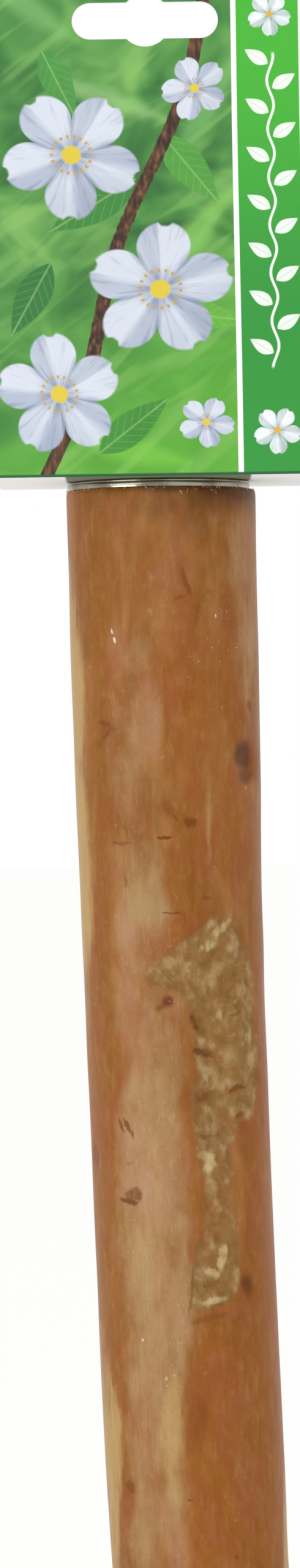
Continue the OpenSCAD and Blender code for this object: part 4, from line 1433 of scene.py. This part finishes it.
# %% Sprig on the strip
VINE_X, VINE_TOP, VINE_STEP, VINE_LEAVES = 27.2, -7.0, 5.4, 13
VINE_LOW = VINE_TOP - VINE_STEP * VINE_LEAVES
LEAF_OUT, LEAF_DOWN, LEAF_TURN = 3.0, 1.2, 58
wave = add(tree, "SINE", add(tree, "MULTIPLY", axes["Z"], math.pi / (VINE_STEP * MM)))
off_x = add(tree, "SUBTRACT", axes["X"], VINE_X * MM)
off_vine = add(tree, "ABSOLUTE", add(tree, "SUBTRACT", off_x, add(tree, "MULTIPLY", wave, 0.7 * MM)))
below_top = add(tree, "ease", axes["Z"], VINE_TOP * MM, (VINE_TOP - 1) * MM)
between = add(tree, "ease", axes["Z"], (VINE_LOW - 1) * MM, VINE_LOW * MM, 0.0, below_top)
white = add(tree, "ease", off_vine, 0.36 * MM, 0.24 * MM, 0.0, between)
for k in range(VINE_LEAVES):
    side = 1 if k % 2 else -1
    shown = placed(tree, leaf, place, VINE_X + side * LEAF_OUT, VINE_TOP - LEAF_DOWN - VINE_STEP * k,
                   -90 + side * LEAF_TURN, 3.1, 1.5, Softness=0.12).outputs
    veined = add(tree, "MULTIPLY_ADD", shown["Vein"], -0.35, shown["Inside"], use_clamp=True)
    white = add(tree, "MAXIMUM", white, veined)
tone = add(tree, "mix", add(tree, "MULTIPLY", white, 0.92), tone, "#F1F6EF")
for z, radius in ((1.0, 5.0), (-91.5, 5.4)):
    shown = placed(tree, blossom, place, VINE_X, z, 15, radius, radius).outputs
    petal_tone = add(tree, "mix", shown["Shade"], "#E6EBEE", "#8FA6A0")
    petal_tone = add(tree, "mix", shown["Eye"], petal_tone, "#D9A93C")
    tone = add(tree, "mix", shown["Inside"], tone, petal_tone)
varnish(tree, shader, tone, place)
print("nodes in the front print:", len(tree.nodes))

# %% [markdown]
# The back has the same layers with only a few leaves, so it is plainer than the front.

# %% Back print
BACK_LEAVES = [(4, -12, 140), (18, -58, 30), (-4, -86, 95)]
back_print, tree, shader = material("offset print under gloss varnish, back")
place = add(tree, "ShaderNodeTexCoord").outputs["Object"]
axes = add(tree, "ShaderNodeSeparateXYZ", place).outputs
tone = add(tree, "mix", 0.55, greens(tree, place), "#56A548")
for x, z, turn in BACK_LEAVES:
    shown = placed(tree, leaf, place, x, z, turn, 13, 4.8, Softness=0.12).outputs
    leaf_tone = add(tree, "mix", add(tree, "MULTIPLY", shown["Vein"], 0.5), "#3A8A3B", "#9FD075")
    tone = add(tree, "mix", add(tree, "MULTIPLY", shown["Inside"], 0.85), tone, leaf_tone)
varnish(tree, shader, strip_and_fold(tree, tone, axes, -1), place)
print("nodes in the back print:", len(tree.nodes))

# %% [markdown]
# Inside and underneath the board is bare. It is white pulp with a matt, slightly woolly
# face. Under the base, in front of the large washer, it is painted olive, greener towards
# the front: a painted shade with a painted green reflection of the print.

# %% Bare board
board, tree, shader = material("uncoated white pulp board")
place = add(tree, "ShaderNodeTexCoord").outputs["Object"]
axes = add(tree, "ShaderNodeSeparateXYZ", place).outputs
pulp = grain(tree, place, (0.5, 0.5, 0.5), detail=4)
tone = add(tree, "ramp", pulp, stops=[(0.3, "#E9EBEA"), (0.7, "#F5F6F5")])
forward = add(tree, "ease", axes["Y"], -26 * MM, -16 * MM)
# Painted shade, greener towards the front as a painted reflection of the print, under the base in front of
# the large washer
painted_shade_tone = add(tree, "ramp", forward, stops=[(0.0, "#4F7030"), (0.60, "#566034"), (1.0, "#6E6846")])
under = add(tree, "ease", axes["Z"], BASE_Z + 0.4 * MM, BASE_Z + 0.2 * MM, 0.0, 0.92)
ahead = add(tree, "ease", axes["Y"], -2 * MM, -5 * MM, 0.0, under)
beside = add(tree, "ABSOLUTE", add(tree, "SUBTRACT", axes["X"], BOLT_X))
tone = tint(tree, tone, painted_shade_tone, beside, 20.4 * MM, 19.6 * MM, ahead)
feed(shader, {"Base Color": tone, "Roughness": 0.95, "Specular IOR Level": 0.2})
feed(shader, {"Normal": add(tree, "bump", pulp, 0.3, 0.05 * MM)})

for index, finish in ((PRINT_FRONT, front_print), (PRINT_BACK, back_print), (BARE, board)):
    card.data.materials[index] = finish
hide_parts("header_card")
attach(card, "card")
print("card materials:", [m.name for m in card.data.materials])

# %% [markdown]
# ## Steel: three finishes
# All the hardware is steel under zinc. On the bolt the plate is bright: a smooth,
# slightly blue mirror with faint clouds where the bath was uneven. On the washers it
# has yellowed, and its colour is also painted darker, as a painted reflection of dark
# surroundings. The wing nut is cast before plating, so the zinc lies on a rougher skin
# and looks dull. One material with masks could show all three, but one function that
# makes a material each time is easier to follow.

# %% Steel materials


def plated(name, light, deep, rough, skin, depth):
    """Zinc plate on steel: light and deep tones, roughness, and the grain and depth of its skin in mm."""
    made, tree, shader = material(name)
    place = add(tree, "ShaderNodeTexCoord").outputs["Object"]
    clouds = grain(tree, place, (6, 6, 6), distort=0.5)
    fine = grain(tree, place, (skin, skin, skin), rough=0.6)
    tone = tint(tree, light, deep, clouds, 0.35, 0.68)
    tone = tint(tree, tone, "#7E8084", fine, 0.62, 0.78, 0.25)
    uneven = add(tree, "MULTIPLY", add(tree, "SUBTRACT", clouds, 0.5), 0.12)
    feed(shader, {"Base Color": tone, "Metallic": 1.0, "Roughness": add(tree, "ADD", rough, uneven)})
    feed(shader, {"Normal": add(tree, "bump", fine, 0.5, depth * MM)})
    return made


bright_zinc = plated("bright zinc plate on rolled steel", "#D9DCE0", "#BFC4CC", 0.22, 0.8, 0.012)
# The washers' zinc: yellowed, and darker as a painted reflection of dark surroundings
yellowed_zinc_dark_reflection = plated("zinc plate on rolled steel, yellowed", "#9C978A", "#7A7466", 0.15, 0.8, 0.003)
cast_zinc = plated("zinc plate on a cast steel skin", "#C3C6CA", "#A4A7AB", 0.40, 0.5, 0.05)
print("steel finishes:", [finish.name for finish in (bright_zinc, yellowed_zinc_dark_reflection, cast_zinc)])

# %% [markdown]
# ## Washers
# A washer is punched from sheet. The punch draws one rim round and breaks the other.
# It could be a cylinder with bevels. Here its section is drawn and turned once round
# the bolt's axis, as Blender's Spin does, so that each part of the rim has its place.

# %% Turned pieces
MERGE, STEEL_SHARP = 1e-6, math.radians(38)


def spun(name, section, sides, finish):
    """A closed ring, from its section as (radius, z) points in metres, spun round the bolt's axis."""
    work = bmesh.new()
    loop = [work.verts.new((BOLT_X + r, 0, z)) for r, z in section]
    edges = [work.edges.new((loop[k], loop[(k + 1) % len(loop)])) for k in range(len(loop))]
    bmesh.ops.spin(work, geom=loop + edges, cent=(BOLT_X, 0, 0), axis=(0, 0, 1),
                   angle=2 * math.pi, steps=sides, use_merge=True, use_duplicate=False)
    bmesh.ops.remove_doubles(work, verts=work.verts, dist=MERGE)
    bmesh.ops.recalc_face_normals(work, faces=work.faces)
    mesh = bpy.data.meshes.new(name)
    work.to_mesh(mesh)
    work.free()
    mesh.polygons.foreach_set("use_smooth", [True] * len(mesh.polygons))
    mesh.set_sharp_from_angle(angle=STEEL_SHARP)
    mesh.materials.append(finish)
    made = bpy.data.objects.new(name, mesh)
    scene.collection.objects.link(made)
    print(name, "faces:", len(mesh.polygons))
    return made


print("pieces are turned round x mm:", round(BOLT_X / MM, 2))

# %% [markdown]
# The washer's edge is a cut band and a torn band, both slightly crowned, with a fine
# line between them where cutting turned into tearing.

# %% Washers
EDGE_R, CROWN, GROOVE, GROOVE_HALF = 0.22 * MM, 0.035 * MM, 0.13 * MM, 0.06 * MM
HOLE_CHAMFER, CUT_SHARE = 0.12 * MM, 0.68
HOLE_R = BOLT_R + 0.2 * MM
WASHER_SIDES, ROUND_STEPS, CROWN_STEPS = 144, 6, 9


def washer_section(low, high):
    """Section of a punched washer in the box from low to high: hole, round rim, two bands, round rim."""
    r, z0, z1 = (high[0] - low[0]) / 2, low[2], high[2]
    line = z0 + CUT_SHARE * (z1 - z0)
    turns = np.radians(np.linspace(0, 90, ROUND_STEPS))
    section = [(HOLE_R, z0 + HOLE_CHAMFER), (HOLE_R + HOLE_CHAMFER, z0)]
    section += [(r - CROWN - EDGE_R * (1 - math.sin(a)), z0 + EDGE_R * (1 - math.cos(a))) for a in turns]
    for bottom, top in ((z0 + EDGE_R, line - GROOVE_HALF), (line + GROOVE_HALF, z1 - EDGE_R)):
        section += [(r - CROWN * (2 * share - 1) ** 2, bottom + (top - bottom) * share)
                    for share in np.linspace(0, 1, CROWN_STEPS)[1:-1]]
        if top < line:
            section += [(r - CROWN, top), (r - GROOVE, line), (r - CROWN, line + GROOVE_HALF)]
    section += [(r - CROWN - EDGE_R * (1 - math.cos(a)), z1 - EDGE_R * (1 - math.sin(a))) for a in turns]
    return section + [(HOLE_R + HOLE_CHAMFER, z1), (HOLE_R, z1 - HOLE_CHAMFER)]


for name, node, body in (
        ("large_washer", "inner_washer", "perch"), ("small_washer", "outer_washer", "washer")):
    washer = spun(name, washer_section(*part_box(node)), WASHER_SIDES, yellowed_zinc_dark_reflection)
    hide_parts(node)
    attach(washer, body)

# %% [markdown]
# ## Hanger bolt
# A hanger bolt has a machine thread for the nut on one end and a coarse wood thread on
# the other. A thread follows a helix, so Geometry Nodes sweep a three-sided ridge
# along a spiral, and a spun core joins it. A Screw modifier could wind it too, but its
# radius can't shrink towards the point. The tree's inputs are the two radii, height,
# turns, ridge size, its flatness and its place.

# %% Thread nodes
THREAD_POINTS = 40
thread_tree, given, thread_ids = node_tree("thread ridge on a helix", {
    "Low Radius": "Float", "High Radius": "Float", "Height": "Float", "Turns": "Float", "Ridge": "Float",
    "Flatness": "Float", "Place": "Vector", "Material": "Material"})
spiral = add(thread_tree, "GeometryNodeCurveSpiral", {
    "Resolution": THREAD_POINTS, "Rotations": given["Turns"], "Start Radius": given["Low Radius"],
    "End Radius": given["High Radius"], "Height": given["Height"]})
level_path = add(thread_tree, "GeometryNodeSetCurveNormal", spiral, mode="Z_UP")
ridge = add(thread_tree, "GeometryNodeCurvePrimitiveCircle", {"Resolution": 3, "Radius": given["Ridge"]},
            mode="RADIUS")
flattened = add(thread_tree, "ShaderNodeCombineXYZ", 1.0, given["Flatness"], 1.0)
# Half a turn brings the ridge's crest outwards
shaped = add(thread_tree, "GeometryNodeTransform", {
    "Geometry": ridge, "Rotation": (0, 0, math.pi), "Scale": flattened})
swept = add(thread_tree, "GeometryNodeCurveToMesh", {
    "Curve": level_path, "Profile Curve": shaped, "Fill Caps": True})
moved = add(thread_tree, "GeometryNodeTransform", {"Geometry": swept, "Translation": given["Place"]})
joined = add(thread_tree, "GeometryNodeJoinGeometry", moved)
feed(joined, {"Geometry": given["Geometry"]})
end_tree(thread_tree, joined, given["Material"])
print("inputs of the thread tree:", list(thread_ids))

# %% [markdown]
# The core is plain between the two threads, where the die that rolled them stopped, and
# pointed at its low end. The wood thread runs out on that point, as on a screw.

# %% Hanger bolt
BOLT_TOP, BOLT_TIP = bolt_high[2], bolt_low[2]
CORE_R, WOOD_R, PLAIN_R, AXIS_R = BOLT_R - 0.60 * MM, BOLT_R - 0.95 * MM, BOLT_R - 0.35 * MM, 0.02 * MM
core = [(AXIS_R, BOLT_TIP + 0.4 * MM), (0.5 * MM, BOLT_TIP + 1.4 * MM), (WOOD_R, BOLT_TIP + 7 * MM),
        (WOOD_R, SAW_Z - 9.5 * MM), (PLAIN_R, SAW_Z - 8.5 * MM), (PLAIN_R, SAW_Z - 3.0 * MM),
        (CORE_R, SAW_Z - 2.2 * MM), (CORE_R, BOLT_TOP - 0.5 * MM), (CORE_R - 0.45 * MM, BOLT_TOP),
        (AXIS_R, BOLT_TOP)]
CORE_SIDES = 48
bolt = spun("hanger_bolt_threaded", core, CORE_SIDES, bright_zinc)
PITCH, WOOD_PITCH = 1.0 * MM, 2.5 * MM
MACHINE_PATH, WOOD_PATH = BOLT_R - 0.56 * MM, BOLT_R - 0.82 * MM
wood_low = BOLT_TIP + 7 * MM
# Low and high radius, low and high end, pitch, ridge and its flatness
THREADS = [
    (MACHINE_PATH, MACHINE_PATH, SAW_Z - 2.0 * MM, BOLT_TOP - 0.9 * MM, PITCH, 0.56 * MM, 1.0),
    (WOOD_PATH, WOOD_PATH, wood_low, SAW_Z - 10 * MM, WOOD_PITCH, 0.80 * MM, 0.60),
    (0.15 * MM, WOOD_PATH, BOLT_TIP + 0.9 * MM, wood_low, WOOD_PITCH, 0.80 * MM, 0.60)]
for low_r, high_r, low_z, high_z, pitch, ridge_r, flatness in THREADS:
    run_nodes(bolt, thread_tree, thread_ids, {
        "Low Radius": low_r, "High Radius": high_r, "Height": high_z - low_z,
        "Turns": (high_z - low_z) / pitch, "Ridge": ridge_r, "Flatness": flatness,
        "Place": (BOLT_X, 0, low_z), "Material": bright_zinc})
bolt.data.set_sharp_from_angle(angle=STEEL_SHARP)
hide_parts("hanger_bolt")
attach(bolt, "perch")
ends = np.array([v.co for v in bolt.data.vertices])
print("bolt from mm:", np.round(ends.min(0) / MM, 2), "to", np.round(ends.max(0) / MM, 2),
      "faces:", len(bolt.data.polygons))

# %% [markdown]
# ## Wing nut
# The nut is cast in one piece, so every edge is rounded and the wings grow out of the
# boss through soft fillets. Bevels could round it edge by edge, but are hard to get
# right where wing and boss meet. The copy of its solid is voxel remeshed, which joins
# it to one skin, and then smoothed, which draws such fillets at every corner.

# %% Wing nut
VOXEL, SOFTEN, SOFTEN_ROUNDS = 0.22 * MM, 0.5, 14
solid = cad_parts["wing_nut"]
nut = bpy.data.objects.new("cast_wing_nut", solid.data.copy())
scene.collection.objects.link(nut)
work = bmesh.new()
work.from_mesh(nut.data)
bmesh.ops.remove_doubles(work, verts=work.verts, dist=MERGE)
work.to_mesh(nut.data)
work.free()
remesh = nut.modifiers.new("one_skin", "REMESH")
remesh.mode, remesh.voxel_size = "VOXEL", VOXEL
fillets = nut.modifiers.new("cast_fillets", "SMOOTH")
fillets.factor, fillets.iterations = SOFTEN, SOFTEN_ROUNDS
plain_mesh(nut)
nut.data.polygons.foreach_set("use_smooth", [True] * len(nut.data.polygons))
nut.data.materials.clear()
nut.data.materials.append(cast_zinc)
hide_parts("wing_nut")
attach(nut, "nut")
print("wing nut faces:", len(nut.data.polygons))
